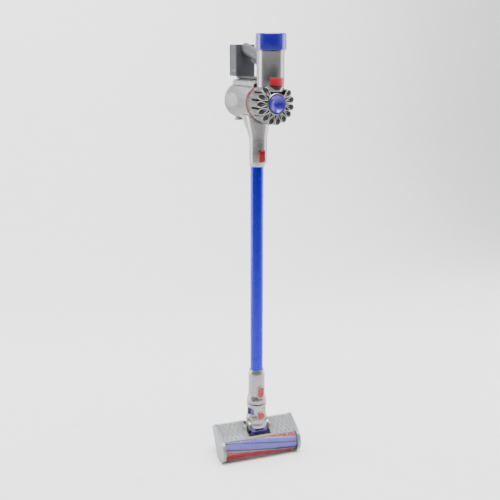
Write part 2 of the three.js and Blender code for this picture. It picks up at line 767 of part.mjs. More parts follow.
function binFlap() {
  const start = BIN.back + GAP;
  const disc = alongY(round(BIN.radius, start, start + FLAP.thickness, ROUND), 0, binCentre);
  const knuckle = join(
    alongX(round(FLAP.earRadius, -8, 8, SMALL), flapPinY, flapPinZ),
    box(-8, 8, start, start + FLAP.thickness, flapPinZ, flapPinZ + 6),
  );
  const bore = alongX(round(FLAP.pin + RUNNING, -9, 9, SMALL), flapPinY, flapPinZ);
  const recess = alongY(round(BIN.radius - 9, start + 2.6, start + 9, ROUND), 0, binCentre);
  return cut(join(disc, knuckle), bore, recess);
}

function flapSeal() {
  const outer = BIN.radius - BIN.wall - 0.8;
  const ring = round(outer, BIN.back - 3.2, BIN.back, ROUND, outer - 4);
  return alongY(ring, 0, binCentre);
}

function flapCatch() {
  const bottom = binCentre + BIN.radius + GAP;
  const { halfWidth, height, depth } = CATCH;
  const y1 = BIN.back + FLAP.thickness + GAP;
  return box(-halfWidth, halfWidth, y1 - depth, y1, bottom, bottom + height);
}

function preFilterCap() {
  const { radius, front, dish } = FILTER_CAP;
  const back = CYCLONE.front + 2;
  const neckRadius = CYCLONE_CORE.bore - 1;
  const profile = [
    [0, front + dish],
    [radius * 0.35, front + dish - 1],
    [radius * 0.8, front + 2],
    [radius - 2, front],
    [radius, front + 2],
    [radius, CYCLONE.front - 2],
    [neckRadius, CYCLONE.front - 2],
    [neckRadius, back],
    [0, back],
  ];
  return alongY(turned(profile, FINE), 0, binCentre);
}

function preFilterSock() {
  const { radius, tipRadius, tip } = FILTER_SOCK;
  const start = CYCLONE.front + 2 + GAP;
  const profile = [
    [0, start],
    [radius, start],
    [radius, -20],
    [tipRadius, tip - 3],
    [tipRadius - 4, tip],
    [0, tip],
  ];
  return alongY(turned(profile, FINE), 0, binCentre);
}

function motorHousing() {
  const inside = MOTOR.radius - MOTOR.wall;
  const rib = box(-RIB.halfWidth, RIB.halfWidth, MOTOR.y + 20, RIB.back, RIB.bottom, RIB.top);
  const ribInside = box(
    -RIB.halfWidth + MOTOR.wall,
    RIB.halfWidth - MOTOR.wall,
    MOTOR.y + 20,
    RIB.back - MOTOR.wall,
    RIB.bottom + MOTOR.wall,
    RIB.top - MOTOR.wall,
  );
  const axisZ = gripAxis(RIB.back);
  const { stemHalf } = TAB;
  const tabZ = (TAB.bottom + TAB.top) / 2;
  const slotHalf = BOOST.travel + 3 + GAP;
  return cut(
    join(motorOutside(), rib),
    motorAt(round(inside, MOTOR.bottom + MOTOR.wall, MOTOR.top + 1, ROUND)),
    motorAt(round(MOTOR.inletRadius, MOTOR.bottom - 1, MOTOR.bottom + 4, FINE)),
    ribInside,
    box(-9, 9, RIB.back - 5, RIB.back + 1, axisZ - 9, axisZ + 9),
    box(
      -stemHalf - GAP,
      stemHalf + GAP,
      MOTOR.y - MOTOR.radius - TAB.stem - 0.5,
      MOTOR.y - MOTOR.radius + TAB.stem - 1.5,
      tabZ - 3.4,
      tabZ + 3.4,
    ),
    box(-slotHalf, slotHalf, BOOST.y - 2, BOOST.y + 2, RIB.top - 4, RIB.top + 1),
  );
}

function releaseTab() {
  const inner = MOTOR.radius + GAP;
  const { halfAngle, bottom, top, thickness, stemHalf, stem } = TAB;
  const points = [];
  const steps = 8;
  for (const radius of [inner + thickness, inner]) {
    const arc = [];
    for (let i = 0; i <= steps; i++) {
      const turn = rad(-90 - halfAngle + (2 * halfAngle * i) / steps);
      arc.push([radius * Math.cos(turn), radius * Math.sin(turn)]);
    }
    points.push(...(radius === inner ? arc.reverse() : arc));
  }
  const shield = motorAt(raised(outline(points), bottom, top));
  const middle = (bottom + top) / 2;
  const start = MOTOR.y - inner - 1;
  return join(shield, box(-stemHalf, stemHalf, start, start + stem, middle - 3, middle + 3));
}

function motorCase() {
  const { wall, bottom, height } = CANISTER;
  const radius = canisterRadius;
  const eye = impellerRadius * 0.45;
  const profile = [
    [eye, bottom],
    [radius, bottom],
    [radius, bottom + height],
    [radius - wall, bottom + height],
    [radius - wall, bottom + wall],
    [eye, bottom + wall],
  ];
  return motorAt(turned(profile, FINE));
}

const canisterInside = canisterRadius - CANISTER.wall - GAP;
const impellerBottom = CANISTER.bottom + CANISTER.wall + 2;
const impellerTop = impellerBottom + 13;
const statorBottom = impellerTop + 12;

function impeller() {
  const hub = turned(
    [
      [0, impellerBottom],
      [7, impellerBottom],
      [12, impellerBottom + 6],
      [impellerRadius, impellerTop - 2],
      [impellerRadius, impellerTop],
      [0, impellerTop],
    ],
    FINE,
  );
  const blades = [];
  for (let i = 0; i < 9; i++) {
    const blade = box(6, impellerRadius - 2, -0.7, 0.7, impellerBottom + 0.5, impellerTop - 1);
    blades.push(blade.rotateZ((2 * Math.PI * i) / 9));
  }
  const bore = round(ROTOR.shaft + GAP, impellerBottom - 1, impellerTop + 1, SMALL);
  return motorAt(cut(join(hub, ...blades), bore));
}

// Vanes between two rings straighten the air from the impeller.
function motorDiffuser() {
  const bottom = impellerTop + 2;
  const top = bottom + 6;
  const inner = 10;
  const pieces = [
    round(canisterInside, bottom, top, FINE, canisterInside - 2),
    round(inner, bottom, top, FINE, ROTOR.shaft + 1),
  ];
  for (let i = 0; i < 8; i++) {
    const vane = box(inner - 1, canisterInside - 1, -0.8, 0.8, bottom, top);
    pieces.push(vane.rotateZ((2 * Math.PI * i) / 8));
  }
  return motorAt(join(...pieces));
}

function motorStator() {
  const bore = ROTOR.magnet + 0.8;
  const top = statorBottom + 18;
  const pieces = [round(canisterInside, statorBottom, top, FINE, canisterInside - 3)];
  for (let i = 0; i < 4; i++) {
    const tooth = box(bore, canisterInside - 1, -4, 4, statorBottom, top);
    pieces.push(tooth.rotateZ((2 * Math.PI * i) / 4 + Math.PI / 4));
  }
  return motorAt(cut(join(...pieces), round(bore, statorBottom - 1, top + 1, FINE)));
}

function motorBearing() {
  const bottom = statorBottom + 21;
  const bore = ROTOR.shaft + RUNNING;
  const sleeve = round(7, bottom, bottom + 5, SMALL, bore);
  const plate = round(canisterInside, bottom + 1, bottom + 3, FINE, 6);
  return motorAt(join(sleeve, plate));
}

function motorBoard() {
  const bottom = statorBottom + 21 + 5 + 2;
  const disc = round(canisterInside - 1, bottom, bottom + 1.6, FINE);
  const parts = [
    box(-8, 2, -14, -6, bottom + 1, bottom + 6),
    box(6, 14, 2, 10, bottom + 1, bottom + 5),
  ];
  return motorAt(join(disc, ...parts));
}

function postCap() {
  const { proud, height, wall, spigot } = POST_CAP;
  const radius = MOTOR.radius + proud;
  const bottom = MOTOR.top + GAP;
  const inside = MOTOR.radius - MOTOR.wall - GAP;
  const profile = [
    [0, bottom + height - wall],
    [inside - wall, bottom + height - wall],
    [inside - wall, bottom - spigot],
    [inside, bottom - spigot],
    [inside, bottom],
    [radius - 1, bottom],
    [radius, bottom + 1],
    [radius, bottom + height - 3],
    [radius - 3, bottom + height],
    [0, bottom + height],
  ];
  return motorAt(turned(profile));
}

function postMedia() {
  const top = MOTOR.top + POST_CAP.height - POST_CAP.wall - GAP;
  return motorAt(round(MOTOR.radius - MOTOR.wall - MEDIA.room, MEDIA.bottom, top, FINE, MEDIA.bore));
}

// Height of the grip's axis at a given y, and the grip's solid grown or shrunk.
const gripAxis = (y) => GRIP.axisAtRib + (y - RIB.back) * GRIP.slope;

function gripSolid(grow) {
  const shape = outline(
    banded([[0, 0, 1]], 20).map(([x, y]) => [
      x * (GRIP.halfWidth + grow),
      y * (GRIP.halfDepth + grow),
    ]),
  );
  const reach = 90;
  const middle = (RIB.back + BATTERY.front) / 2;
  return raised(shape, -reach, reach)
    .rotateX(-Math.PI / 2 + Math.atan(GRIP.slope))
    .translate(0, middle, gripAxis(middle));
}

function handleShell(side) {
  const [x0, x1] = side < 0 ? [-40, -GAP / 2] : [GAP / 2, 40];
  const ends = box(x0, x1, RIB.back + GAP, BATTERY.front - GAP, 0, 400);
  const trigger = TRIGGER;
  const half = trigger.halfWidth + GAP;
  const slot = TRIGGER_SLOT;
  return cut(
    common(gripSolid(0), ends),
    gripSolid(-GRIP.wall),
    box(-half, half, RIB.back - 1, slot.back, triggerZ - slot.below, triggerZ + slot.above),
    alongX(
      round(trigger.pin + RUNNING, -trigger.pinHalf - 1, trigger.pinHalf + 1, SMALL),
      trigger.pivotY,
      triggerZ,
    ),
  );
}

const triggerZ = gripAxis(TRIGGER.pivotY) - TRIGGER.below;

function triggerLever() {
  const lever = outline([
    [-5, -3],
    [-2, -9],
    [8, -13],
    [20, -11],
    [30, -4],
    [34, 3],
    [33, 5],
    [0, 4],
    [-5, 2],
  ]);
  const { halfWidth, pivotY, pin, pinHalf } = TRIGGER;
  const body = sideways(lever, -halfWidth, halfWidth).translate(0, pivotY, triggerZ);
  return join(body, alongX(round(pin, -pinHalf, pinHalf, SMALL), pivotY, triggerZ));
}

const springBottom = triggerZ + 4.9;
const switchBottom = triggerZ + 12;

function triggerSpring() {
  const { radius, wire, y } = SPRING;
  return round(radius, springBottom, switchBottom - 0.3, SMALL, radius - wire).translate(0, y, 0);
}

function triggerSwitch() {
  return box(-5, 5, SPRING.y - 8, SPRING.y + 8, switchBottom, switchBottom + 9);
}

function boostSlider() {
  const { halfWidth, y, halfDepth, height } = BOOST;
  const bottom = RIB.top + GAP;
  const pad = box(-halfWidth, halfWidth, y - halfDepth, y + halfDepth, bottom, bottom + height);
  return join(pad, box(-3, 3, y - 1.5, y + 1.5, bottom - 3.4, bottom + 1));
}

function binRail() {
  const { halfWidth, thickness } = RAIL;
  const bottom = saddleTop + GAP;
  const start = MOTOR.y + MOTOR.radius + 1;
  const end = BATTERY.back - BATTERY.cover - GAP;
  return cut(
    box(-halfWidth, halfWidth, start, end, bottom, bottom + thickness),
    box(-40, 40, BATTERY.front - GAP, 200, BATTERY.bottom - GAP, BATTERY.top),
    box(-40, 40, start - 1, RIB.back + GAP, RIB.bottom - GAP, RIB.top),
  );
}

function binSaddle() {
  const { halfWidth, below, end } = SADDLE;
  const bottom = BIN.top - below;
  const top = saddleTop;
  const slope = 12;
  const arch = frontal(
    outline([
      [-halfWidth, bottom],
      [halfWidth, bottom],
      [halfWidth, top - slope / 2],
      [halfWidth - slope, top],
      [-halfWidth + slope, top],
      [-halfWidth, top - slope / 2],
    ]),
    MOTOR.y + MOTOR.radius + 1,
    end,
  );
  return cut(
    arch,
    alongY(round(BIN.radius + 2 * GAP, CYCLONE.back + GAP, 150, ROUND), 0, binCentre),
    alongY(round(coneReach + GAP, -100, CYCLONE.back + GAP, ROUND), 0, binCentre),
    box(-CATCH.halfWidth - 1, CATCH.halfWidth + 1, 90, 150, bottom, bottom + 14),
  );
}

function batteryCase() {
  const { halfWidth, front, back, bottom, top, wall, cover } = BATTERY;
  const corner = 6;
  const shape = outline([
    [-halfWidth + corner, front],
    [halfWidth - corner, front],
    [halfWidth, front + corner],
    [halfWidth, back - cover - GAP],
    [-halfWidth, back - cover - GAP],
    [-halfWidth, front + corner],
  ]);
  const inside = box(
    -halfWidth + wall,
    halfWidth - wall,
    front + wall,
    back,
    bottom + wall,
    top - wall,
  );
  return cut(raised(shape, bottom, top), inside, lensBlock(-halfWidth - 1, -halfWidth + wall + 1, GAP));
}

// A block about the status lens, in the left wall of the battery, from x0 to x1.
function lensBlock(x0, x1, clearance) {
  const long = LENS.halfLength + clearance;
  const high = LENS.halfHeight + clearance;
  return box(x0, x1, LENS.y - long, LENS.y + long, LENS.z - high, LENS.z + high);
}

function statusLens() {
  const x = -BATTERY.halfWidth;
  return lensBlock(x, x + BATTERY.wall, 0);
}

function batteryCover() {
  const { halfWidth, back, bottom, top, cover } = BATTERY;
  const plate = box(-halfWidth, halfWidth, back - cover, back, bottom, top);
  return cut(plate, alongY(round(PORT.radius + GAP, back - cover - 1, back + 1, SMALL), 0, portZ));
}

function chargePort() {
  const { back } = BATTERY;
  const { radius, wall, depth } = PORT;
  const socket = alongY(round(radius, back - depth, back - GAP, SMALL), 0, portZ);
  const bore = round(radius - wall, back - depth + 2, back + 1, SMALL);
  return cut(socket, alongY(bore, 0, portZ));
}

// Six cells in one holder.
function cellPack() {
  const middle = (BATTERY.front + BATTERY.wall + BATTERY.back - BATTERY.cover) / 2;
  const bottom = portZ + PORT.radius + 2;
  const pieces = [];
  for (let i = 0; i < CELL.across; i++) {
    for (let k = 0; k < CELL.deep; k++) {
      const x = (i - (CELL.across - 1) / 2) * CELL.pitch;
      const y = middle + (k - (CELL.deep - 1) / 2) * CELL.pitch;
      pieces.push(round(CELL.radius, bottom, bottom + CELL.length, SMALL).translate(x, y, 0));
    }
  }
  const x = CELL.pitch + 6;
  const y = CELL.pitch / 2 + 6;
  pieces.push(box(-x, x, middle - y, middle + y, bottom + 28, bottom + 34));
  return join(...pieces);
}

function batteryBoard() {
  const { halfWidth, front, wall } = BATTERY;
  const z = BATTERY.bottom + wall + 1;
  return box(-halfWidth + 5, halfWidth - 5, front + wall + 1, front + 26, z, z + 1.6);
}

// ---- The assembly --------------------------------------------------------------------------
const vacuum = new THREE.Group();
vacuum.position.set(0, -BATTERY.back, -dockZ);

const unit = new THREE.Group();
unit.position.z = handheld;
vacuum.add(unit);
add(unit, "motor_housing", motorHousing(), NICKEL);
add(unit, "handle_left", handleShell(-1), CHARCOAL);
add(unit, "handle_right", handleShell(1), CHARCOAL);
add(unit, "battery_case", batteryCase(), CHARCOAL);
add(unit, "battery_cover", batteryCover(), CHARCOAL);
add(unit, "cell_pack", cellPack(), GREY);
add(unit, "battery_board", batteryBoard(), BOARD);
add(unit, "charge_port", chargePort(), RUBBER);
add(unit, "status_lens", statusLens(), CLEAR);
add(unit, "cyclone_body", cycloneBody(), NICKEL);
add(unit, "cyclone_cover", cycloneCover(), NICKEL);
add(unit, "vortex_shroud", vortexShroud(), STEEL);
add(unit, "bin_seal", binSeal(), RED);
add(unit, "inlet_funnel", inletFunnel(), GREY);
add(unit, "bin_saddle", binSaddle(), GREY);
add(unit, "bin_rail", binRail(), CHARCOAL);
add(unit, "motor_case", motorCase(), CHARCOAL);
add(unit, "motor_stator", motorStator(), COPPER);
add(unit, "motor_diffuser", motorDiffuser(), GREY);
add(unit, "motor_board", motorBoard(), BOARD);
add(unit, "motor_bearing", motorBearing(), STEEL);
add(unit, "trigger_switch", triggerSwitch(), RUBBER);
add(unit, "trigger_spring", triggerSpring(), STEEL);
add(
  unit,
  "rotor_shaft",
  motorAt(round(ROTOR.shaft, impellerBottom - 1, statorBottom + 26, SMALL)),
  STEEL,
);
add(
  unit,
  "rotor_magnet",
  motorAt(round(ROTOR.magnet, statorBottom + 1, statorBottom + 17, FINE, ROTOR.shaft + GAP)),
  STEEL,
);
add(unit, "impeller", impeller(), CHARCOAL);
add(unit, "trigger", triggerLever(), CHARCOAL);
add(unit, "release_tab", releaseTab(), RED);
add(unit, "boost_slider", boostSlider(), CHARCOAL);
add(unit, "bin_barrel", binBarrel(), CLEAR);
add(unit, "flap_catch", flapCatch(), RED);
add(unit, "bin_flap", binFlap(), CLEAR);
add(unit, "flap_seal", flapSeal(), RUBBER);
add(unit, "pre_filter_cap", preFilterCap(), VIOLET);
add(unit, "pre_filter_sock", preFilterSock(), FELT);
add(unit, "post_filter_cap", postCap(), VIOLET);
add(unit, "post_filter_media", postMedia(), FELT);

add(vacuum, "wand_tube", wandTube(), BLUE);
add(vacuum, "wand_top_collar", topCollar(), GREY);
add(vacuum, "wand_bottom_collar", lowCollar(), GREY);
add(vacuum, "wand_cable", wandCable(), RUBBER);
add(vacuum, "wand_button", topButton(), RED);
add(vacuum, "head_button", lowButton(), RED);
add(vacuum, "neck_shell", neckShell(), GREY);
add(vacuum, "neck_button", neckButton(), RED);

const headTurn = new THREE.Group();
headTurn.position.z = PIVOT_Z;
headTurn.rotation.z = rad(HEAD_TURN);
vacuum.add(headTurn);
add(headTurn, "elbow_shell", elbowShell(), GREY);
add(headTurn, "swivel_tube", swivelTube(), VIOLET);

const head = new THREE.Group();
head.rotation.x = rad(HEAD_TILT);
headTurn.add(head);
add(head, "head_cover", headCover(), CLEAR);
add(head, "roller_window", rollerWindow(), CLEAR);
add(head, "head_chassis", headChassis(), GREY);
add(head, "sole_plate", solePlate(), GREY);
add(head, "end_cap_left", endCap(-1), GREY);
add(head, "end_cap_right", endCap(1), GREY);
add(head, "duct_barrel", ductBarrel(), VIOLET);
add(head, "roller_motor", rollerMotor(), STEEL);
add(head, "wheel_left", rearWheel(-1), RUBBER);
add(head, "wheel_right", rearWheel(1), RUBBER);
add(head, "roller_core", rollerCore(), CHARCOAL);
add(head, "roller_pile", rollerPile(), PILE);
add(head, "cap_lock", capLock(), GREY);

export default vacuum;
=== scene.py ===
import json
import logging
import math
from dataclasses import dataclass, field
from enum import Enum
from typing import Iterable, Optional, Sequence

import bmesh
import bpy
from mathutils import Matrix, Vector


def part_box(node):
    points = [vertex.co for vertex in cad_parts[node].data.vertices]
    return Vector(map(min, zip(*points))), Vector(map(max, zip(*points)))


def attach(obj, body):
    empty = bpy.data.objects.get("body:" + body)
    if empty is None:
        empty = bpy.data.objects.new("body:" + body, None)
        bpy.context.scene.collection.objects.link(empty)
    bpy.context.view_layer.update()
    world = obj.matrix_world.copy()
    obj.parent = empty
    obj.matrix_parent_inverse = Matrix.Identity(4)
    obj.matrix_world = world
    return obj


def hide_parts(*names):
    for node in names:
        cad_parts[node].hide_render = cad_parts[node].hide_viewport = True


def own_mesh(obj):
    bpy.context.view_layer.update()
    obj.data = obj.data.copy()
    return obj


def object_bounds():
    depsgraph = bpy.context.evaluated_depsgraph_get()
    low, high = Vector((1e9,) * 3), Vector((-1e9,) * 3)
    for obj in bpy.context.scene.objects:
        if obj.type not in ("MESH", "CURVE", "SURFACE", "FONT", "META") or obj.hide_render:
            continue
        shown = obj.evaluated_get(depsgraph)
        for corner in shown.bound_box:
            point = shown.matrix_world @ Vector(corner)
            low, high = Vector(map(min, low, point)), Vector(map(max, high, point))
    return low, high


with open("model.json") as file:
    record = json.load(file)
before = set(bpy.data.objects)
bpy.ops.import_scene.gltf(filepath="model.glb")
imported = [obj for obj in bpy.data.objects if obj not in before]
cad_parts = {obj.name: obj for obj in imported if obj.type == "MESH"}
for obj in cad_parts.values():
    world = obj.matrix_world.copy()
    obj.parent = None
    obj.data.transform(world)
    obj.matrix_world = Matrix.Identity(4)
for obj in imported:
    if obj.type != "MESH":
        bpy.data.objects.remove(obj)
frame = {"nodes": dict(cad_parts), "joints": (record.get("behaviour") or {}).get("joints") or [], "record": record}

LOG = logging.getLogger("vacuum")
MM = 0.001
CAD_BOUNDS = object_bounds()
Point = tuple[float, float]
# The bin's axis above the wand's socket, and the radii kept free round the bin and the cones.
BIN_AXIS = 140.0
BIN_ROOM = 50.1
CONE_ROOM = 57.3


class Fit(Enum):
    """How one solid works on another."""

    JOIN = "UNION"
    CUT = "DIFFERENCE"
    KEEP = "INTERSECT"


# ---- Materials -----------------------------------------------------------------------------
def linear(colour: str) -> tuple[float, float, float, float]:
    """Turns an sRGB hex colour to linear RGBA.

    Args:
        colour: Six hex digits after a hash sign.

    Returns:
        Linear red, green, blue and an alpha of 1.
    """
    parts = [int(colour[i : i + 2], 16) / 255 for i in (1, 3, 5)]
    curve = [c / 12.92 if c <= 0.04045 else ((c + 0.055) / 1.055) ** 2.4 for c in parts]
    return (curve[0], curve[1], curve[2], 1.0)


def add(tree: bpy.types.NodeTree, kind: str, inputs: Optional[dict] = None, **settings) -> bpy.types.Node:
    """Adds a node with its settings and links.

    Args:
        tree: The node tree that the node goes in.
        kind: The node's type.
        inputs: Values or sockets by input name or index; a socket is linked.
        settings: The node's own properties.

    Returns:
        The new node.
    """
    made = tree.nodes.new(kind)
    for key, value in settings.items():
        setattr(made, key, value)
    for key, value in (inputs or {}).items():
        if isinstance(value, bpy.types.NodeSocket):
            tree.links.new(value, made.inputs[key])
        else:
            made.inputs[key].default_value = value
    return made


@dataclass(frozen=True)
class Finish:
    """A surface: its colours, its gloss and the grain that its making leaves.

    Attributes:
        name: The material's name.
        colour: Its main sRGB hex colour.
        shade: The colour that it varies towards.
        slot: The record's material slot; not used.
        grain_mm: The size of its grain.
        roughness: Its mean roughness.
        metallic: 1 for bare metal.
        bump_mm: The height of its grain.
        coat: The weight of a clear coat.
        alpha: How much of it is opaque.
        stretch: How the grain is drawn out along each axis.
        sheen: The weight of a fibre sheen.
    """

    name: str
    colour: str
    shade: str
    slot: str
    grain_mm: float = 1.0
    roughness: float = 0.4
    metallic: float = 0.0
    bump_mm: float = 0.02
    coat: float = 0.0
    alpha: float = 1.0
    stretch: tuple[float, float, float] = (1.0, 1.0, 1.0)
    sheen: float = 0.0

    def pattern(self, tree: bpy.types.NodeTree, where: bpy.types.NodeSocket) -> tuple:
        """Draws the grain.

        Args:
            tree: The material's node tree.
            where: Object coordinates, in metres.

        Returns:
            The sockets of the colour and of the height.
        """
        spread = add(tree, "ShaderNodeMapping", {"Vector": where, "Scale": self.stretch})
        scale = 1 / (self.grain_mm * MM)
        fine = add(tree, "ShaderNodeTexNoise", {"Vector": spread.outputs[0], "Scale": scale, "Detail": 3.0})
        ramp = add(tree, "ShaderNodeValToRGB", {"Fac": fine.outputs["Fac"]})
        ramp.color_ramp.elements[0].color = linear(self.shade)
        ramp.color_ramp.elements[0].position = 0.3
        ramp.color_ramp.elements[1].color = linear(self.colour)
        ramp.color_ramp.elements[1].position = 0.62
        return ramp.outputs["Color"], fine.outputs["Fac"]

    def make(self) -> bpy.types.Material:
        """Builds the material once, and returns it."""
        found = bpy.data.materials.get(self.name)
        if found:
            return found
        material = bpy.data.materials.new(self.name)
        material.use_nodes = True
        tree = material.node_tree
        tree.nodes.clear()
        where = add(tree, "ShaderNodeTexCoord").outputs["Object"]
        colour, height = self.pattern(tree, where)
        # Handling leaves broad soft patches in the gloss, some 30 mm across.
        patches = add(tree, "ShaderNodeTexNoise", {"Vector": where, "Scale": 1 / 0.03, "Detail": 2.0})
        gloss = add(
            tree,
            "ShaderNodeMapRange",
            {0: patches.outputs["Fac"], 1: 0.3, 2: 0.7, 3: self.roughness * 0.85, 4: self.roughness * 1.15},
        )
        bump = add(tree, "ShaderNodeBump", {"Height": height, "Strength": 0.6, "Distance": self.bump_mm * MM})
        shader = add(
            tree,
            "ShaderNodeBsdfPrincipled",
            {
                "Base Color": colour,
                "Roughness": gloss.outputs[0],
                "Metallic": self.metallic,
                "Normal": bump.outputs[0],
                "Coat Weight": self.coat,
                "Alpha": self.alpha,
                "Sheen Weight": self.sheen,
            },
        )
        add(tree, "ShaderNodeOutputMaterial", {"Surface": shader.outputs[0]})
        return material


@dataclass(frozen=True)
class StripedPile(Finish):
    """Woven nylon pile, dyed in bands that wind round the roller."""

    centre: tuple[float, float, float] = (0.0, 0.0, 0.0)
    yaw: float = 0.0
    starts: int = 2
    twist_deg_per_mm: float = -0.22
    bands: tuple = (
        (0.0, "#120B44"),
        (0.055, "#8A7F90"),
        (0.075, "#8C0A1D"),
        (0.655, "#8D8598"),
        (0.686, "#4A3EAE"),
        (0.8, "#180F58"),
        (0.845, "#4A3EAE"),
    )

    def pattern(self, tree: bpy.types.NodeTree, where: bpy.types.NodeSocket) -> tuple:
        """Winds the bands round the roller's axis."""
        back = tuple(-c for c in self.centre)
        moved = add(tree, "ShaderNodeMapping", {"Vector": where, "Location": back})
        turned = add(tree, "ShaderNodeMapping", {"Vector": moved.outputs[0], "Rotation": (0, 0, -self.yaw)})
        axes = add(tree, "ShaderNodeSeparateXYZ", {0: turned.outputs[0]})
        angle = add(tree, "ShaderNodeMath", {0: axes.outputs[2], 1: axes.outputs[1]}, operation="ARCTAN2")
        share = self.starts / math.tau
        per_metre = self.starts * self.twist_deg_per_mm / (360 * MM)
        wound = add(tree, "ShaderNodeMath", {0: axes.outputs[0], 1: per_metre}, operation="MULTIPLY")
        sum_of = {0: angle.outputs[0], 1: share, 2: wound.outputs[0]}
        phase = add(tree, "ShaderNodeMath", sum_of, operation="MULTIPLY_ADD")
        lap = add(tree, "ShaderNodeMath", {0: phase.outputs[0]}, operation="FRACT")
        ramp = add(tree, "ShaderNodeValToRGB", {"Fac": lap.outputs[0]})
        ramp.color_ramp.interpolation = "CONSTANT"
        stops = ramp.color_ramp.elements
        while len(stops) < len(self.bands):
            stops.new(0.5)
        for stop, (position, colour) in zip(stops, self.bands):
            stop.position = position
            stop.color = linear(colour)
        scale = 1 / (self.grain_mm * MM)
        fine = add(tree, "ShaderNodeTexNoise", {"Vector": where, "Scale": scale, "Detail": 4.0})
        mixed = {0: 0.22, 6: ramp.outputs[0], 7: fine.outputs["Color"]}
        dull = add(tree, "ShaderNodeMix", mixed, data_type="RGBA")
        dull.blend_type = "MULTIPLY"
        return dull.outputs[2], fine.outputs["Fac"]


@dataclass(frozen=True)
class Perforated(Finish):
    """Thin steel sheet with a grid of small holes, drawn as dark round spots."""

    def pattern(self, tree: bpy.types.NodeTree, where: bpy.types.NodeSocket) -> tuple:
        """Lays the holes out in cells of the grain's size."""
        scale = 1 / (self.grain_mm * MM)
        cells = add(tree, "ShaderNodeTexVoronoi", {"Vector": where, "Scale": scale, "Randomness": 0.0})
        ramp = add(tree, "ShaderNodeValToRGB", {"Fac": cells.outputs["Distance"]})
        ramp.color_ramp.elements[0].color = linear(self.shade)
        ramp.color_ramp.elements[0].position = 0.26
        ramp.color_ramp.elements[1].color = linear(self.colour)
        ramp.color_ramp.elements[1].position = 0.34
        return ramp.outputs["Color"], ramp.outputs["Color"]


# ABS under metallic nickel paint and clear lacquer: fine flake, crisp highlights.
NICKEL = Finish("nickel_metallic_paint", "#8A8887", "#7C7A79", "nickel", 0.5, 0.2, 0.9, 0.002, coat=0.4)
# The same paint on both tiers of cones, darker and duller for the shade between them.
SHADE = Finish("shaded_nickel_paint", "#4D4B4A", "#42403F", "nickel", 0.5, 0.33, 0.78, 0.002, coat=0.15)
# Bare moulded loops over the cones.
LOOP = Finish("satin_nickel_moulding", "#A9A7A6", "#9E9C9B", "nickel", 0.6, 0.32, 0.35, 0.004, coat=0.2)
# Near-black painted shade on the core behind the cones, for the dark gaps between them.
CORE_SHADE = Finish("core_painted_shade", "#1D1C1F", "#141316", "nickel", 0.8, 0.45, 0.0, 0.01)
# Satin moulded ABS, light warm grey, with a fine spark-eroded texture.
GREY = Finish("satin_painted_abs", "#949190", "#8A8786", "grey", 0.8, 0.27, 0.8, 0.004, coat=0.25)
# Bright edge of a moulded cap.
PALE = Finish("pale_moulded_abs", "#88898B", "#7F8082", "grey", 0.9, 0.32, 0.4, 0.01)
# Glass-filled nylon, charcoal, with a leathery moulded grain.
CHARCOAL = Finish("charcoal_moulded_nylon", "#303035", "#222226", "charcoal", 1.4, 0.5, 0.0, 0.05)
# Drawn aluminium tube, blue anodised: the drawing leaves faint lines along it.
BLUE = Finish(
    "blue_anodised_aluminium",
    "#1B14B0",
    "#161098",
    "blue_tube",
    0.7,
    0.26,
    0.75,
    0.002,
    0.15,
    stretch=(1, 1, 0.02),
)
# ABS with violet metallic colour in the melt.
VIOLET = Finish("violet_metallic_abs", "#38239E", "#2E1C88", "violet", 0.6, 0.26, 0.35, 0.004, coat=0.5)
# Indigo lid, deeper than the violet.
INDIGO = Finish("indigo_metallic_abs", "#261994", "#1F147C", "violet", 0.6, 0.2, 0.45, 0.003, coat=0.6)
# Glossy red ABS controls.
RED = Finish("gloss_red_abs", "#9A0616", "#8A0512", "red", 1.0, 0.3, 0.15, 0.004, coat=0.2)
# Maroon, nearly black: painted shade for the dark gap beside the red seal and painted shadow under the release
# tab.
MAROON_SHADE = Finish("maroon_painted_shade", "#3A0D16", "#2A0910", "red", 1.0, 0.4, 0.0, 0.01)
# Lightly smoked polycarbonate, moulded clear.
CLEAR = Finish("smoked_polycarbonate", "#7C7B7B", "#727171", "clear", 6.0, 0.12, 0.0, 0.01, 0.3, alpha=0.72)
# The head's cover is thinner, so its ribs show through.
COVER = Finish(
    "thin_smoked_polycarbonate", "#B4B5B6", "#A8A9AA", "clear", 6.0, 0.14, 0.0, 0.01, 0.3, alpha=0.36
)
# Ribs of the same sheet, thick enough to look frosted and pale.
RIB = Finish("moulded_polycarbonate_rib", "#DADBDC", "#D0D1D2", "clear", 2.0, 0.3, 0.0, 0.01)
# The roller's window is clearer than the bin.
WINDOW = Finish("clear_polycarbonate", "#DCDDE4", "#D0D1D8", "clear", 6.0, 0.06, 0.0, 0.004, 0.1, alpha=0.045)
# The grip's lighter nylon.
SLATE = Finish("slate_moulded_nylon", "#48474A", "#3D3C40", "charcoal", 1.2, 0.42, 0.3, 0.02)
# Moulded nitrile rubber, dull and nearly black.
RUBBER = Finish("black_moulded_rubber", "#1B1B1D", "#121214", "rubber", 0.9, 0.7, 0.0, 0.03)
# Ground steel: bright, with faint lines round the grinding.
STEEL = Finish("ground_steel", "#B4B6B9", "#9C9EA2", "steel", 0.4, 0.28, 1.0, 0.004, stretch=(1, 1, 0.1))
# Punched stainless sheet, a bright skin full of small dark holes.
MESH = Perforated("perforated_steel_sheet", "#A9ABAE", "#1A1A1C", "steel", 1.6, 0.35, 0.9, 0.05)
# Die-cast aluminium with the grey, slightly rough skin of the mould.
CAST = Finish("die_cast_aluminium", "#8E8F93", "#7A7B80", "motor_metal", 1.2, 0.45, 0.9, 0.03)
# Glass-epoxy board under glossy green solder resist.
BOARD = Finish("green_solder_resist", "#1C5A39", "#15452B", "board", 2.0, 0.35, 0.0, 0.02, coat=0.3)
# Needled polyester felt, white and fully dull, with a soft fibre edge.
FELT = Finish("needled_filter_felt", "#E9E8E3", "#CFCEC8", "felt", 0.5, 0.95, 0.0, 0.12, sheen=0.3)


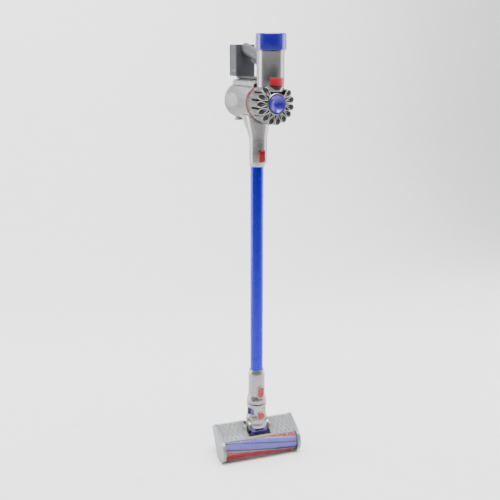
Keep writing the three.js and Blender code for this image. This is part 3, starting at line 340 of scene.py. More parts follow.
# ---- Solids --------------------------------------------------------------------------------
class Solid:
    """A closed mesh in millimetres, in the frame of the sub-assembly that it belongs to."""

    def __init__(self, made: Optional[bmesh.types.BMesh] = None) -> None:
        """Starts from a bmesh, or empty."""
        self.bm = made or bmesh.new()

    @classmethod
    def lofted(cls, rings: Sequence[Sequence[tuple[float, float, float]]], capped: bool = True) -> "Solid":
        """Skins equal rings of points.

        Args:
            rings: The rings, each with as many points as the others.
            capped: Whether the two ends are closed; if not, the last ring meets the first.

        Returns:
            The closed solid.
        """
        bm = bmesh.new()
        rows = [[bm.verts.new(p) for p in ring] for ring in rings]
        count = len(rows[0])
        pairs = list(zip(rows, rows[1:])) + ([] if capped else [(rows[-1], rows[0])])
        for low, high in pairs:
            for i in range(count):
                k = (i + 1) % count
                bm.faces.new((low[i], low[k], high[k], high[i]))
        if capped:
            bm.faces.new(list(reversed(rows[0])))
            bm.faces.new(rows[-1])
        return cls(bm)._tidied()

    @classmethod
    def revolved(cls, profile: Sequence[Point], steps: int = 96) -> "Solid":
        """Turns a closed profile of radius and height about Z.

        Args:
            profile: The points; one on the axis has radius 0.
            steps: How many sides the turn has.

        Returns:
            The closed solid.
        """
        bm = bmesh.new()
        columns = []
        for i in range(steps):
            turn = math.tau * i / steps
            columns.append([bm.verts.new((r * math.cos(turn), r * math.sin(turn), h)) for r, h in profile])
        count = len(profile)
        for i in range(steps):
            here, there = columns[i], columns[(i + 1) % steps]
            for k in range(count):
                j = (k + 1) % count
                if profile[k][0] > 0 or profile[j][0] > 0:
                    bm.faces.new((here[k], there[k], there[j], here[j]))
        return cls(bm)._tidied()

    @classmethod
    def extruded(cls, outline: Sequence[Point], low: float, high: float) -> "Solid":
        """Draws a flat outline up from one height to another."""
        return cls.lofted([[(x, y, low) for x, y in outline], [(x, y, high) for x, y in outline]])

    @classmethod
    def round(cls, radius: float, low: float, high: float, bore: float = 0.0, edge: float = 0.0) -> "Solid":
        """Makes a cylinder or ring on Z, with its outer edges eased by `edge`."""
        if edge:
            outer = [(radius - edge, low), (radius, low + edge), (radius, high - edge), (radius - edge, high)]
        else:
            outer = [(radius, low), (radius, high)]
        return cls.revolved([(bore, low), *outer, (bore, high)])

    @classmethod
    def block(cls, x0: float, x1: float, y0: float, y1: float, z0: float, z1: float) -> "Solid":
        """Makes a block between two corners."""
        return cls.extruded([(x0, y0), (x1, y0), (x1, y1), (x0, y1)], z0, z1)

    @classmethod
    def sideways(cls, outline: Sequence[Point], x0: float, x1: float) -> "Solid":
        """Draws an outline in y and z along X."""
        return cls.lofted([[(x0, y, z) for y, z in outline], [(x1, y, z) for y, z in outline]])

    @classmethod
    def frontal(cls, outline: Sequence[Point], y0: float, y1: float) -> "Solid":
        """Draws an outline in x and z along Y."""
        return cls.lofted([[(x, y0, z) for x, z in outline], [(x, y1, z) for x, z in outline]])

    def _tidied(self) -> "Solid":
        """Merges doubled points, drops empty faces and points every face outwards."""
        bmesh.ops.remove_doubles(self.bm, verts=self.bm.verts, dist=1e-5)
        bmesh.ops.dissolve_degenerate(self.bm, edges=self.bm.edges, dist=1e-6)
        bmesh.ops.recalc_face_normals(self.bm, faces=self.bm.faces)
        return self

    def moved(self, matrix: Matrix) -> "Solid":
        """Places the solid by a matrix."""
        self.bm.transform(matrix)
        return self

    def at(self, x: float, y: float, z: float) -> "Solid":
        """Shifts the solid."""
        return self.moved(Matrix.Translation((x, y, z)))

    def along_x(self, y: float = 0.0, z: float = 0.0) -> "Solid":
        """Lays a solid that stands on Z along X."""
        return self.moved(Matrix.Translation((0, y, z)) @ Matrix.Rotation(math.pi / 2, 4, "Y"))

    def along_y(self, x: float = 0.0, z: float = 0.0) -> "Solid":
        """Lays a solid that stands on Z along Y."""
        return self.moved(Matrix.Translation((x, 0, z)) @ Matrix.Rotation(-math.pi / 2, 4, "X"))

    def as_object(self, name: str) -> bpy.types.Object:
        """Puts the solid in a scratch object."""
        mesh = bpy.data.meshes.new(name)
        self.bm.to_mesh(mesh)
        made = bpy.data.objects.new(name, mesh)
        bpy.context.scene.collection.objects.link(made)
        return made

    def placed(self, name: str, place: Optional[Matrix] = None) -> bpy.types.Object:
        """Puts the solid in an object in metres, moved to its place if one is given."""
        return self.moved((place or Matrix.Identity(4)) @ Matrix.Scale(MM, 4)).as_object(name)

    def worked(self, fit: Fit, tools: Iterable["Solid"]) -> "Solid":
        """Joins, cuts or keeps this solid with others.

        Args:
            fit: What the others do to it.
            tools: The other solids.

        Returns:
            The new solid.
        """
        base = self.as_object("base")
        scratch = [base]
        for tool in tools:
            other = tool.as_object("tool")
            scratch.append(other)
            step = base.modifiers.new("step", "BOOLEAN")
            step.operation = fit.value
            step.object = other
            step.solver = "EXACT"
        bpy.context.view_layer.update()
        graph = bpy.context.evaluated_depsgraph_get()
        mesh = bpy.data.meshes.new_from_object(base.evaluated_get(graph))
        result = bmesh.new()
        result.from_mesh(mesh)
        for used in scratch:
            bpy.data.objects.remove(used)
        bpy.data.meshes.remove(mesh)
        return Solid(result)

    def join(self, *tools: "Solid") -> "Solid":
        """Joins the others to this solid."""
        return self.worked(Fit.JOIN, tools)

    def cut(self, *tools: "Solid") -> "Solid":
        """Cuts the others from this solid."""
        return self.worked(Fit.CUT, tools)

    def piece(
        self,
        name: str,
        place: Matrix,
        finish: Finish,
        body: str,
        stands_for: Sequence[str] = (),
        edge_mm: float = 0.35,
        sharp_deg: float = 32.0,
    ) -> bpy.types.Object:
        """Makes the solid a finished piece of the object.

        Args:
            name: The piece's name.
            place: From the sub-assembly's frame to the object's, in metres.
            finish: Its surface.
            body: The body that it rides on.
            stands_for: The CAD nodes that it replaces.
            edge_mm: The width of the eased edges, or 0.
            sharp_deg: The angle past which an edge stays crisp.

        Returns:
            The piece.
        """
        made = self.placed(name, place)
        if edge_mm:
            bevel = made.modifiers.new("edges", "BEVEL")
            bevel.width = edge_mm * MM
            bevel.segments = 2
            bevel.limit_method = "ANGLE"
            bevel.angle_limit = math.radians(sharp_deg)
        return finished(made, finish, body, stands_for, sharp_deg)


def finished(
    made: bpy.types.Object, finish: Finish, body: str, stands_for: Sequence[str] = (), sharp_deg: float = 32.0
) -> bpy.types.Object:
    """Shades a piece, dresses it and sets it on its body.

    Args:
        made: The piece's object.
        finish: Its surface.
        body: The body that it rides on.
        stands_for: The CAD nodes that it replaces.
        sharp_deg: The angle past which an edge stays crisp.

    Returns:
        The piece.
    """
    made.data.shade_smooth()
    made.data.set_sharp_from_angle(angle=math.radians(sharp_deg))
    made.data.materials.clear()
    made.data.materials.append(finish.make())
    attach(made, body)
    if stands_for:
        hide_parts(*stands_for)
    LOG.info("%s rides on %s, %d faces", made.name, body, len(made.data.polygons))
    return made


def banded(circles: Sequence[tuple[float, float, float]], sides: int = 96) -> list[Point]:
    """The outline of a band round circles.

    Args:
        circles: Each circle's x, y and radius.
        sides: How many points the outline has.

    Returns:
        The points, anticlockwise.
    """
    points = []
    for i in range(sides):
        turn = math.tau * (i + 0.5) / sides
        c, s = math.cos(turn), math.sin(turn)
        x, y, r = max(circles, key=lambda k: k[0] * c + k[1] * s + k[2])
        points.append((x + r * c, y + r * s))
    return points


def capsule(width: float, height: float, radius: Optional[float] = None) -> list[Point]:
    """The outline of an upright capsule or rounded rectangle about the origin."""
    r = width / 2 if radius is None else radius
    x, y = width / 2 - r, height / 2 - r
    return banded([(x, y, r), (-x, y, r), (-x, -y, r), (x, -y, r)], 64)


def rounded(half: float, low: float, high: float, radius: float, sides: int = 48) -> list[Point]:
    """The outline of a rounded rectangle about the y axis.

    Args:
        half: Half its width, to the middles of the corners.
        low: The y of one pair of corners.
        high: The y of the other pair.
        radius: The corners' radius.
        sides: How many points the outline has.

    Returns:
        The points, anticlockwise.
    """
    corners = ((-half, low), (half, low), (half, high), (-half, high))
    return banded([(x, y, radius) for x, y in corners], sides)


def blended(first: Sequence[Point], second: Sequence[Point], share: float, z: float) -> list:
    """The ring at a height that lies a share of the way from one outline to another."""
    return [(a + (c - a) * share, b + (d - b) * share, z) for (a, b), (c, d) in zip(first, second)]


def eased(low: float, high: float, share: float) -> float:
    """A value that goes smoothly from low to high as share goes from 0 to 1."""
    t = min(1.0, max(0.0, share))
    return low + (high - low) * t * t * (3 - 2 * t)


def domed(outline: Sequence[Point], front: float, back: float, crown: float, steps: int = 6) -> Solid:
    """A button: an outline in x and z with a pillowed front face.

    Args:
        outline: The button's outline.
        front: The y of its proudest point.
        back: The y of its back.
        crown: How far the front curves in at the edge.
        steps: How many rings the curve has.

    Returns:
        The solid.
    """
    rings = [[(x, back, z) for x, z in outline]]
    for i in range(steps + 1):
        turn = math.pi / 2 * i / steps
        share = 1 - 0.16 * (1 - math.cos(turn)) - 0.5 * max(0.0, i / steps - 0.8)
        y = front + crown * (1 - math.sin(turn))
        rings.append([(x * share, y, z * share) for x, z in outline])
    return Solid.lofted(rings)


# ---- Geometry Nodes ------------------------------------------------------------------------
def new_tree(name: str, inputs: Sequence[tuple[str, str]]) -> tuple:
    """Starts a Geometry Nodes tree.

    Args:
        name: The tree's name.
        inputs: The name and socket type of each input after the geometry.

    Returns:
        The tree, its group input and its group output.
    """
    tree = bpy.data.node_groups.new(name, "GeometryNodeTree")
    face = tree.interface
    face.new_socket("Geometry", in_out="INPUT", socket_type="NodeSocketGeometry")
    for label, kind in inputs:
        face.new_socket(label, in_out="INPUT", socket_type=kind)
    face.new_socket("Geometry", in_out="OUTPUT", socket_type="NodeSocketGeometry")
    return tree, add(tree, "NodeGroupInput"), add(tree, "NodeGroupOutput")


def dressed(
    tree: bpy.types.NodeTree, last: bpy.types.Node, given: bpy.types.Node, out: bpy.types.Node
) -> bpy.types.NodeTree:
    """Ends a tree with its material.

    Args:
        tree: The tree.
        last: The node whose geometry is dressed.
        given: The tree's group input, which has a socket named Material.
        out: The tree's group output.

    Returns:
        The finished tree.
    """
    sockets = {"Geometry": last.outputs[0], "Material": given.outputs["Material"]}
    final = add(tree, "GeometryNodeSetMaterial", sockets)
    tree.links.new(final.outputs[0], out.inputs[0])
    return tree


def grown(made: bpy.types.Object, tree: bpy.types.NodeTree, values: dict) -> bpy.types.Object:
    """Runs a tree on an object and keeps the plain mesh that it makes.

    Args:
        made: The object.
        tree: The Geometry Nodes tree.
        values: The inputs by name.

    Returns:
        The same object with its new mesh.
    """
    step = made.modifiers.new("grow", "NODES")
    step.node_group = tree
    for item in tree.interface.items_tree:
        if item.item_type == "SOCKET" and item.in_out == "INPUT" and item.name in values:
            step[item.identifier] = values[item.name]
    bpy.context.view_layer.update()
    graph = bpy.context.evaluated_depsgraph_get()
    mesh = bpy.data.meshes.new_from_object(made.evaluated_get(graph))
    made.modifiers.remove(step)
    made.data = mesh
    return made


def ring_tree() -> bpy.types.NodeTree:
    """A tree that repeats a shape in even steps about an axis along Y."""
    tree, given, out = new_tree(
        "repeat_round_axis",
        [
            ("Count", "NodeSocketInt"),
            ("Start", "NodeSocketFloat"),
            ("Step", "NodeSocketFloat"),
            ("Centre", "NodeSocketVector"),
            ("Material", "NodeSocketMaterial"),
        ],
    )
    line = add(tree, "GeometryNodeMeshLine", {"Count": given.outputs["Count"], "Offset": (0, 0, 0)})
    index = add(tree, "GeometryNodeInputIndex")
    angle = add(
        tree,
        "ShaderNodeMath",
        {0: index.outputs[0], 1: given.outputs["Step"], 2: given.outputs["Start"]},
        operation="MULTIPLY_ADD",
    )
    turn = add(tree, "ShaderNodeCombineXYZ", {1: angle.outputs[0]})
    copies = add(
        tree,
        "GeometryNodeInstanceOnPoints",
        {"Points": line.outputs[0], "Instance": given.outputs["Geometry"], "Rotation": turn.outputs[0]},
    )
    real = add(tree, "GeometryNodeRealizeInstances", {0: copies.outputs[0]})
    placed = add(
        tree, "GeometryNodeTransform", {"Geometry": real.outputs[0], "Translation": given.outputs["Centre"]}
    )
    return dressed(tree, placed, given, out)


def row_tree() -> bpy.types.NodeTree:
    """A tree that repeats a shape in even steps along a line."""
    tree, given, out = new_tree(
        "repeat_along_line",
        [("Count", "NodeSocketInt"), ("Offset", "NodeSocketVector"), ("Material", "NodeSocketMaterial")],
    )
    sockets = {"Count": given.outputs["Count"], "Offset": given.outputs["Offset"]}
    line = add(tree, "GeometryNodeMeshLine", sockets)
    copies = add(
        tree,
        "GeometryNodeInstanceOnPoints",
        {"Points": line.outputs[0], "Instance": given.outputs["Geometry"]},
    )
    real = add(tree, "GeometryNodeRealizeInstances", {0: copies.outputs[0]})
    return dressed(tree, real, given, out)


def pile_tree() -> bpy.types.NodeTree:
    """A tree that grows short fibres from a surface."""
    tree, given, out = new_tree(
        "grow_pile",
        [("Density", "NodeSocketFloat"), ("Length", "NodeSocketFloat"), ("Material", "NodeSocketMaterial")],
    )
    spots = add(
        tree,
        "GeometryNodeDistributePointsOnFaces",
        {"Mesh": given.outputs["Geometry"], "Density": given.outputs["Density"], "Seed": 7},
    )
    fibre = add(
        tree,
        "GeometryNodeMeshCone",
        {"Vertices": 3, "Radius Bottom": 0.00042, "Radius Top": 0.0001, "Depth": given.outputs["Length"]},
        fill_type="NONE",
    )
    size = add(tree, "FunctionNodeRandomValue", {2: 0.6, 3: 1.0, "Seed": 3}, data_type="FLOAT")
    copies = add(
        tree,
        "GeometryNodeInstanceOnPoints",
        {
            "Points": spots.outputs["Points"],
            "Instance": fibre.outputs["Mesh"],
            "Rotation": spots.outputs["Rotation"],
            "Scale": size.outputs[1],
        },
    )
    both = add(tree, "GeometryNodeJoinGeometry")
    tree.links.new(given.outputs["Geometry"], both.inputs[0])
    tree.links.new(copies.outputs[0], both.inputs[0])
    real = add(tree, "GeometryNodeRealizeInstances", {0: both.outputs[0]})
    return dressed(tree, real, given, out)


# ---- Places, worked out from the frame -----------------------------------------------------
def joint(name: str) -> dict:
    """A joint of the record, by name."""
    return next(j for j in frame["joints"] if j["name"] == name)


def upright_place(node: str) -> Matrix:
    """The frame whose origin is the wand's axis at the bottom of a node."""
    tube_low, tube_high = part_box("wand_tube")
    low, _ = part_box(node)
    return Matrix.Translation(((tube_low.x + tube_high.x) / 2, (tube_low.y + tube_high.y) / 2, low.z))


def tilt_place(tilted: bool) -> Matrix:
    """The frame about the tilt axis, turned with the head and, if asked, tilted with it."""
    tilt = joint("head_tilt")
    yaw = math.atan2(tilt["axis"][1], tilt["axis"][0])
    place = Matrix.Translation(tilt["pos_m"]) @ Matrix.Rotation(yaw, 4, "Z")
    if not tilted:
        return place
    sole = next(m for m in frame["record"]["mounts"] if m["name"] == "head_sole")
    lean = math.acos(-sole["axis"][2])
    return place @ Matrix.Rotation(lean, 4, "X")


@dataclass
class MotorUnit:
    """The motor's housing, its lid, its tab and the slider on the rib."""

    y: float = -76.0
    radius: float = 36.5
    wall: float = 2.4
    bottom: float = 171.6
    top: float = 278.8
    seam: float = 205.8
    cap_radius: float = 41.4
    cap_height: float = 43.2
    place: Matrix = field(default_factory=lambda: upright_place("inlet_funnel"))

    def housing(self) -> None:
        """Builds the round housing with its rib, hollow as the real one is."""
        r, inner = self.radius, self.radius - self.wall
        can = Solid.revolved(
            [
                (12, self.bottom),
                (r - 3, self.bottom),
                (r - 0.9, self.bottom + 0.8),
                (r, self.bottom + 3),
                (r, self.seam - 0.6),
                (r - 0.5, self.seam - 0.3),
                (r - 0.5, self.seam + 0.3),
                (r, self.seam + 0.6),
                (r, self.top - 6),
                (r + 0.4, self.top - 5),
                (r + 0.4, self.top - 0.6),
                (r - 0.2, self.top),
                (inner, self.top),
                (inner, self.bottom + self.wall),
                (12, self.bottom + self.wall),
            ]
        ).at(0, self.y, 0)
        rib = Solid.extruded(rounded(10, -25, -50, 5), 209, 277.4)
        hollow = Solid.round(inner, self.bottom + self.wall, self.top + 1).at(0, self.y, 0)
        inside = Solid.block(-12.6, 12.6, -56, -22.4, 211.4, 275)
        grip_way = Solid.block(-9, 9, -25, -19, 249.8, 267.8)
        tab_way = Solid.block(-4.4, 4.4, -121, -106, 195.4, 202.2)
        slider_way = Solid.block(-7.4, 7.4, -30.5, -26.5, 273.4, 278.4)
        can.join(rib).cut(hollow, inside, grip_way, tab_way, slider_way).piece(
            "motor_shell", self.place, NICKEL, "handheld", ["motor_housing"]
        )

    def recess(self) -> None:
        """Builds the dark crescent under the release tab: a thin maroon sheet of painted shadow."""
        rings = []
        for i in range(25):
            turn = math.radians(-90 - 34 + 68 * i / 24)
            depth = math.cos((i / 24 - 0.5) * math.pi)
            low, high = self.seam - 16.9 - 13.5 * depth, self.seam - 16.7
            ring = []
            for radius, height in ((37.0, low), (37.0, high), (36.6, high), (36.6, low)):
                ring.append((radius * math.cos(turn), self.y + radius * math.sin(turn), height))
            rings.append(ring)
        Solid.lofted(rings).piece("tab_shadow_sheet", self.place, MAROON_SHADE, "handheld", edge_mm=0)

    def tab(self) -> None:
        """Builds the curved red release tab with its finger edge."""
        rings = []
        for i in range(33):
            share = i / 32
            turn = math.radians(-90 - 32 + 64 * share)
            drop = 2.2 * math.cos((share - 0.5) * math.pi)
            ring = []
            for radius, height in (
                (36.9, 191.6 - drop),
                (38.2, 190.6 - drop),
                (39.5, 191.6 - drop),
                (39.5, 206.4),
                (38.6, 208.2),
                (36.9, 208.2),
            ):
                ring.append((radius * math.cos(turn), self.y + radius * math.sin(turn), height))
            rings.append(ring)
        stem = Solid.block(-4, 4, -113.9, -105.9, 195.8, 201.8)
        Solid.lofted(rings).join(stem).piece(
            "bin_release_tab", self.place, RED, "release_tab", ["release_tab"]
        )

    def lid(self) -> None:
        """Builds the indigo lid that holds the rear filter, with its bayonet marks and vents."""
        r, low = self.cap_radius, self.top + 0.4
        high = low + self.cap_height
        inside = self.radius - self.wall - 0.4
        Solid.revolved(
            [
                (0, high - 2.5),
                (inside - 2.5, high - 2.5),
                (inside - 2.5, low - 9),
                (inside, low - 9),
                (inside, low),
                (r - 1.6, low),
                (r - 0.4, low + 0.5),
                (r, low + 1.6),
                (r, high - 3.6),
                (r - 0.5, high - 1.7),
                (r - 1.7, high - 0.5),
                (r - 3.6, high),
                (r - 9, high - 0.5),
                (r - 10.5, high - 1.2),
                (0, high - 1.0),
            ]
        ).at(0, self.y, 0).piece("rear_filter_lid", self.place, INDIGO, "post_filter", ["post_filter_cap"], 0)
        mark = Solid.revolved([(0, 0), (1.6, 0), (1.3, 0.5), (0, 0.6)], 24)
        turn = math.radians(-163)
        spin = Matrix.Rotation(turn + math.pi / 2, 4, "Z") @ Matrix.Rotation(math.pi / 2, 4, "X")
        mark.moved(spin).at((r - 0.1) * math.cos(turn), self.y + (r - 0.1) * math.sin(turn), low + 12)
        mark.piece("lid_lock_mark", self.place, PALE, "post_filter", edge_mm=0)

    def vents(self) -> None:
        """Repeats the slots' dark bars round the lid's top."""
        bar = Solid.block(12, 26, -0.7, 0.7, -0.2, 0.2).moved(Matrix.Rotation(math.pi / 2, 4, "X"))
        made = bar.placed("lid_vents")
        values = {"Count": 36, "Start": 0.0, "Step": math.tau / 36, "Centre": (0, 0, 0)}
        grown(made, ring_tree(), {**values, "Material": CHARCOAL.make()})
        top = self.top + 0.4 + self.cap_height - 0.95
        upright = Matrix.Translation((0, self.y * MM, top * MM)) @ Matrix.Rotation(math.pi / 2, 4, "X")
        made.data.transform(self.place @ upright)
        finished(made, CHARCOAL, "post_filter")

    def slider(self) -> None:
        """Builds the power slider with its finger ridges."""
        pad = Solid.extruded(rounded(3, -31, -26, 1.5, 32), 277.8, 280.4)
        stem = Solid.block(-3, 3, -30, -27, 274.4, 278.4)
        ridges = [Solid.block(x - 0.35, x + 0.35, -31.5, -25.5, 280, 280.8) for x in (-2, 0, 2)]
        pad.join(stem, *ridges).piece(
            "power_slider", self.place, CHARCOAL, "boost_slider", ["boost_slider"], 0.15
        )

    def build(self) -> None:
        """Builds every piece of the unit."""
        for step in (self.housing, self.recess, self.tab, self.lid, self.vents, self.slider):
            step()


@dataclass
class GripUnit:
    """The grip in two halves, the trigger and the battery."""

    half_width: float = 15.0
    half_depth: float = 16.0
    wall: float = 2.4
    slope: float = 0.264
    axis_at_rib: float = 258.8
    rib_back: float = -20.0
    pivot_y: float = -8.0
    pivot_drop: float = 10.2
    battery_front: float = 66.0
    battery_back: float = 108.5
    battery_low: float = 207.0
    battery_high: float = 293.4
    place: Matrix = field(default_factory=lambda: upright_place("inlet_funnel"))

    def axis(self, y: float) -> float:
        """The height of the grip's axis at a y."""
        return self.axis_at_rib + (y - self.rib_back) * self.slope

    @property
    def pivot(self) -> float:
        """The height of the trigger's pin."""
        return self.axis(self.pivot_y) - self.pivot_drop

    def tube(self, shrink: float, y0: float, y1: float) -> Solid:
        """The grip's oval, a little slimmer in the middle, between two y."""
        rings = []
        steps = 24
        lean = 1 / math.cos(math.atan(self.slope))
        for i in range(steps + 1):
            share = i / steps
            y = y0 + (y1 - y0) * share
            waist = 1 - 0.045 * math.sin(math.pi * share)
            wide, deep = (self.half_width - shrink) * waist, (self.half_depth - shrink) * waist * lean
            ring = []
            for k in range(72):
                turn = math.tau * k / 72
                ring.append((wide * math.cos(turn), y, self.axis(y) + deep * math.sin(turn)))
            rings.append(ring)
        return Solid.lofted(rings)

    def halves(self) -> None:
        """Builds the two halves of the grip."""
        pivot = self.pivot
        for name, x0, x1 in (("left", -40.0, -0.2), ("right", 0.2, 40.0)):
            half = self.tube(0, self.rib_back + 0.4, self.battery_front - 0.4)
            side = Solid.block(x0, x1, -30, 80, 200, 320)
            slot = Solid.block(-5.8, 5.8, -21, 30, pivot - 16, pivot + 9)
            pin = Solid.round(2.08, -11, 11).along_x(self.pivot_y, pivot)
            half = half.worked(Fit.KEEP, [side]).cut(self.tube(self.wall, -21, 67), slot, pin)
            half.piece(f"grip_{name}", self.place, SLATE, "handheld", [f"handle_{name}"], 0.3)

    def trigger(self) -> None:
        """Builds the trigger, hollowed for the finger."""
        pivot = self.pivot
        outline = [(-5, -3), (-4, -6.4), (-2, -9)]
        for i in range(13):
            share = i / 12
            y = 2 + 26 * share
            outline.append((y, -12.6 + 2.6 * math.sin(math.pi * share) * 0.9 + 7.4 * share**3))
        outline += [(34, 3), (33, 5), (0, 4), (-5, 2)]
        lever = Solid.sideways([(y + self.pivot_y, z + pivot) for y, z in outline], -5.4, 5.4)
        pin = Solid.round(2, -10, 10).along_x(self.pivot_y, pivot)
        lever.join(pin).piece("power_trigger", self.place, CHARCOAL, "trigger", ["trigger"], 0.8)

    def spring(self) -> None:
        """Winds the trigger's return spring as one fixed coil."""
        low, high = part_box("trigger_spring")
        wire, turns, steps = 0.45, 6, 24
        radius = (high.x - low.x) / 2 / MM - wire
        middle = (low.y + high.y) / 2 / MM
        bottom, top = low.z / MM + wire, high.z / MM - wire
        rings = []
        for i in range(turns * steps + 1):
            turn = math.tau * i / steps
            z = bottom + (top - bottom) * i / (turns * steps)
            ring = []
            for k in range(10):
                side = math.tau * k / 10
                far = radius + wire * math.cos(side)
                ring.append((far * math.cos(turn), middle + far * math.sin(turn), z + wire * math.sin(side)))
            rings.append(ring)
        made = Solid.lofted(rings).piece(
            "trigger_return_spring", Matrix.Identity(4), STEEL, "handheld", ["trigger_spring"], 0
        )
        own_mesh(made)

    def battery(self) -> None:
        """Builds the battery's case, back cover, lens and inlet."""
        corners = [(-24, 72, 6), (24, 72, 6), (29.6, 105.1, 0.4), (-29.6, 105.1, 0.4)]
        case = Solid.extruded(banded(corners, 96), self.battery_low, self.battery_high)
        inside = Solid.block(-27.8, 27.8, 68.2, 108, 209.2, 291.2)
        lens_way = Solid.block(-31, -26.8, 77.6, 90.4, 218.6, 225.4)
        grooves = [Solid.block(x, x + 0.8, 74, 102, 236, 237) for x in (-30.4, 29.6)]
        case.cut(inside, lens_way, *grooves).piece(
            "battery_shell", self.place, CHARCOAL, "handheld", ["battery_case"], 0.9
        )
        plate = Solid.frontal(
            rounded(27, self.battery_low + 3, self.battery_high - 3, 3, 64),
            self.battery_back - 2.6,
            self.battery_back,
        )
        port_way = Solid.round(5.4, 100, 112).along_y(0, 217)
        plate.cut(port_way).piece("battery_back", self.place, CHARCOAL, "handheld", ["battery_cover"], 0.4)
        socket = Solid.round(5, 99.5, 108.1).cut(Solid.round(3.4, 101.5, 110))
        contact = Solid.round(0.9, 101, 106)
        socket.join(contact).along_y(0, 217).piece(
            "charge_inlet", self.place, RUBBER, "handheld", ["charge_port"], 0.2
        )
        lens = Solid.sideways([(y + 84, z + 222) for y, z in capsule(12, 6, 1.4)], -30, -27.8)
        lens.piece("charge_lens", self.place, CLEAR, "handheld", ["status_lens"], 0.3)

    def build(self) -> None:
        """Builds every piece of the grip and battery."""
        for step in (self.halves, self.trigger, self.spring, self.battery):
            step()


@dataclass
class CycloneUnit:
    """The cones, the spider in front of them, the filter cap, the bin and its door."""

    centre: float = BIN_AXIS
    front: float = -104.0
    back: float = -28.0
    ring: float = 47.5
    cone: float = 9.4
    tip: float = 5.4
    count: int = 12
    pitch: float = math.radians(24)
    bin_radius: float = 49.3
    bin_wall: float = 2.2
    bin_front: float = -25.7
    bin_back: float = 100.0
    place: Matrix = field(default_factory=lambda: upright_place("inlet_funnel"))

    @property
    def first(self) -> float:
        """The turn of the first cone, just past the motor on the right."""
        return -1.5 * self.pitch

    @property
    def hinge(self) -> Point:
        """The y and z of the door's pin."""
        return self.bin_back + 2.3, self.centre - self.bin_radius - 4.6

    @staticmethod
    def motor_room() -> Solid:
        """The room that the cyclones leave for the motor's housing."""
        return Solid.round(36.9, 171.2, 279.2).at(0, -76, 0)

    def repeated(
        self, solid: Solid, name: str, finish: Finish, count: int, start: float, nodes: Sequence[str] = ()
    ) -> None:
        """Repeats a shape made at turn 0 round the bin's axis.

        Args:
            solid: The shape, about an axis along Y through the origin.
            name: The piece's name.
            finish: Its surface.
            count: How many there are.
            start: The first one's turn.
            nodes: The CAD nodes that the piece stands for.
        """
        made = solid.placed(name)
        spot = self.place @ Vector((0, 0, self.centre * MM))
        values = {"Count": count, "Start": start, "Step": self.pitch, "Centre": tuple(spot)}
        grown(made, ring_tree(), {**values, "Material": finish.make()})
        finished(made, finish, "handheld", nodes)

    def cones(self) -> None:
        """Builds the core and, round it, two tiers of cones."""
        inner = 20.5
        # The core is painted near black: painted shade for the gaps between the cones.
        core = Solid.revolved(
            [
                (inner, self.front + 6),
                (36, self.front + 6),
                (40, self.front + 10),
                (40, self.back - 6),
                (44.9, self.back - 5),
                (44.9, self.back),
                (inner, self.back),
            ]
        ).along_y(0, self.centre)
        above = Solid.block(-60, 60, -200, 0, 201.6, 290)
        core.cut(self.motor_room(), above).piece(
            "cyclone_core", self.place, CORE_SHADE, "handheld", ["cyclone_body"], 0.4
        )
        # The foot is a maroon ring of painted shade, for the dark gap between the red seal and the cones.
        foot = Solid.revolved([(40.4, -44.4), (45.4, -42), (47.8, -32), (47.8, -28.6), (40.4, -28.6)])
        foot.along_y(0, self.centre).piece(
            "cyclone_foot_shade", self.place, MAROON_SHADE, "handheld", edge_mm=0.3
        )
        front_tier = Solid.revolved(
            [
                (0, self.front - 1.6),
                (self.cone - 2.6, self.front - 1.6),
                (self.cone - 0.8, self.front - 0.8),
                (self.cone, self.front + 2),
                (self.cone, self.front + 36),
                (self.cone - 0.8, self.front + 40),
                (self.tip + 0.6, self.back - 22),
                (self.tip - 1.6, self.back - 18),
                (0, self.back - 18),
            ],
            32,
        ).along_y()
        self.repeated(front_tier.at(self.ring, 0, 0), "front_cones", SHADE, self.count, self.first)
        rear_tier = Solid.revolved(
            [(0, -66), (4.0, -65), (5.2, -62), (5.2, -56), (4.0, -48), (2.6, -46), (0, -46)],
            24,
        ).along_y()
        start = self.first + self.pitch / 2
        self.repeated(rear_tier.at(self.ring + 0.4, 0, 0), "rear_cones", SHADE, self.count - 1, start)

    def spider(self) -> None:
        """Builds the ring round the filter cap and the petal-shaped loop over each cone."""
        ring = Solid.revolved(
            [(24.2, -106.4), (24.2, -111), (25.2, -112), (27.6, -112), (29, -110.6), (29, -106.4)]
        ).along_y(0, self.centre)
        ring.cut(self.motor_room()).piece(
            "cover_ring", self.place, NICKEL, "handheld", ["cyclone_cover"], 0.3
        )
        rings = []
        outline = banded([(29.6, 0, 2.0), (47.4, 0, 8.1)], 72)
        for i, (x, z) in enumerate(outline):
            ahead, behind = outline[(i + 1) % 72], outline[i - 1]
            along = Vector((ahead[0] - behind[0], ahead[1] - behind[1])).normalized()
            out = Vector((along.y, -along.x))
            far = math.hypot(x, z)
            y = -108.4 + 6.5 * (max(0.0, far - 43) / 12.5) ** 2
            ring_points = []
            for k in range(12):
                turn = math.tau * k / 12
                wide = 1.05 * math.cos(turn)
                ring_points.append((x + out.x * wide, y + 1.9 * math.sin(turn), z + out.y * wide))
            rings.append(ring_points)
        self.repeated(Solid.lofted(rings, capped=False), "petal_loops", LOOP, self.count, self.first)
        rib = Solid.block(30, 41, -107.6, -105.4, -0.8, 0.8)
        self.repeated(rib, "petal_ribs", LOOP, self.count, self.first)

    def filter_cap(self) -> None:
        """Builds the violet dished cap of the front filter and its lock boss."""
        r, lip = 23.8, -115.4
        dish = [(0, lip + 8)] + [(r * 0.84 * i / 10, lip + 8 - 7 * (i / 10) ** 2.2) for i in range(1, 11)]
        profile = dish + [(r - 2.2, lip), (r - 0.9, lip + 0.3), (r, lip + 1.8), (r, -106), (19.5, -106)]
        profile += [(19.5, -102), (0, -102)]
        Solid.revolved(profile).along_y(0, self.centre).piece(
            "front_filter_cap", self.place, VIOLET, "pre_filter", ["pre_filter_cap"], 0
        )
        diamond = banded([(-3.4, 0, 1.6), (3.4, 0, 1.6), (0, 2.6, 1.6), (0, -2.6, 1.6)], 48)
        boss = Solid.frontal(diamond, -109.4, -106)
        boss.at(0, 0, self.centre).piece("cap_grip", self.place, INDIGO, "pre_filter", edge_mm=0.5)

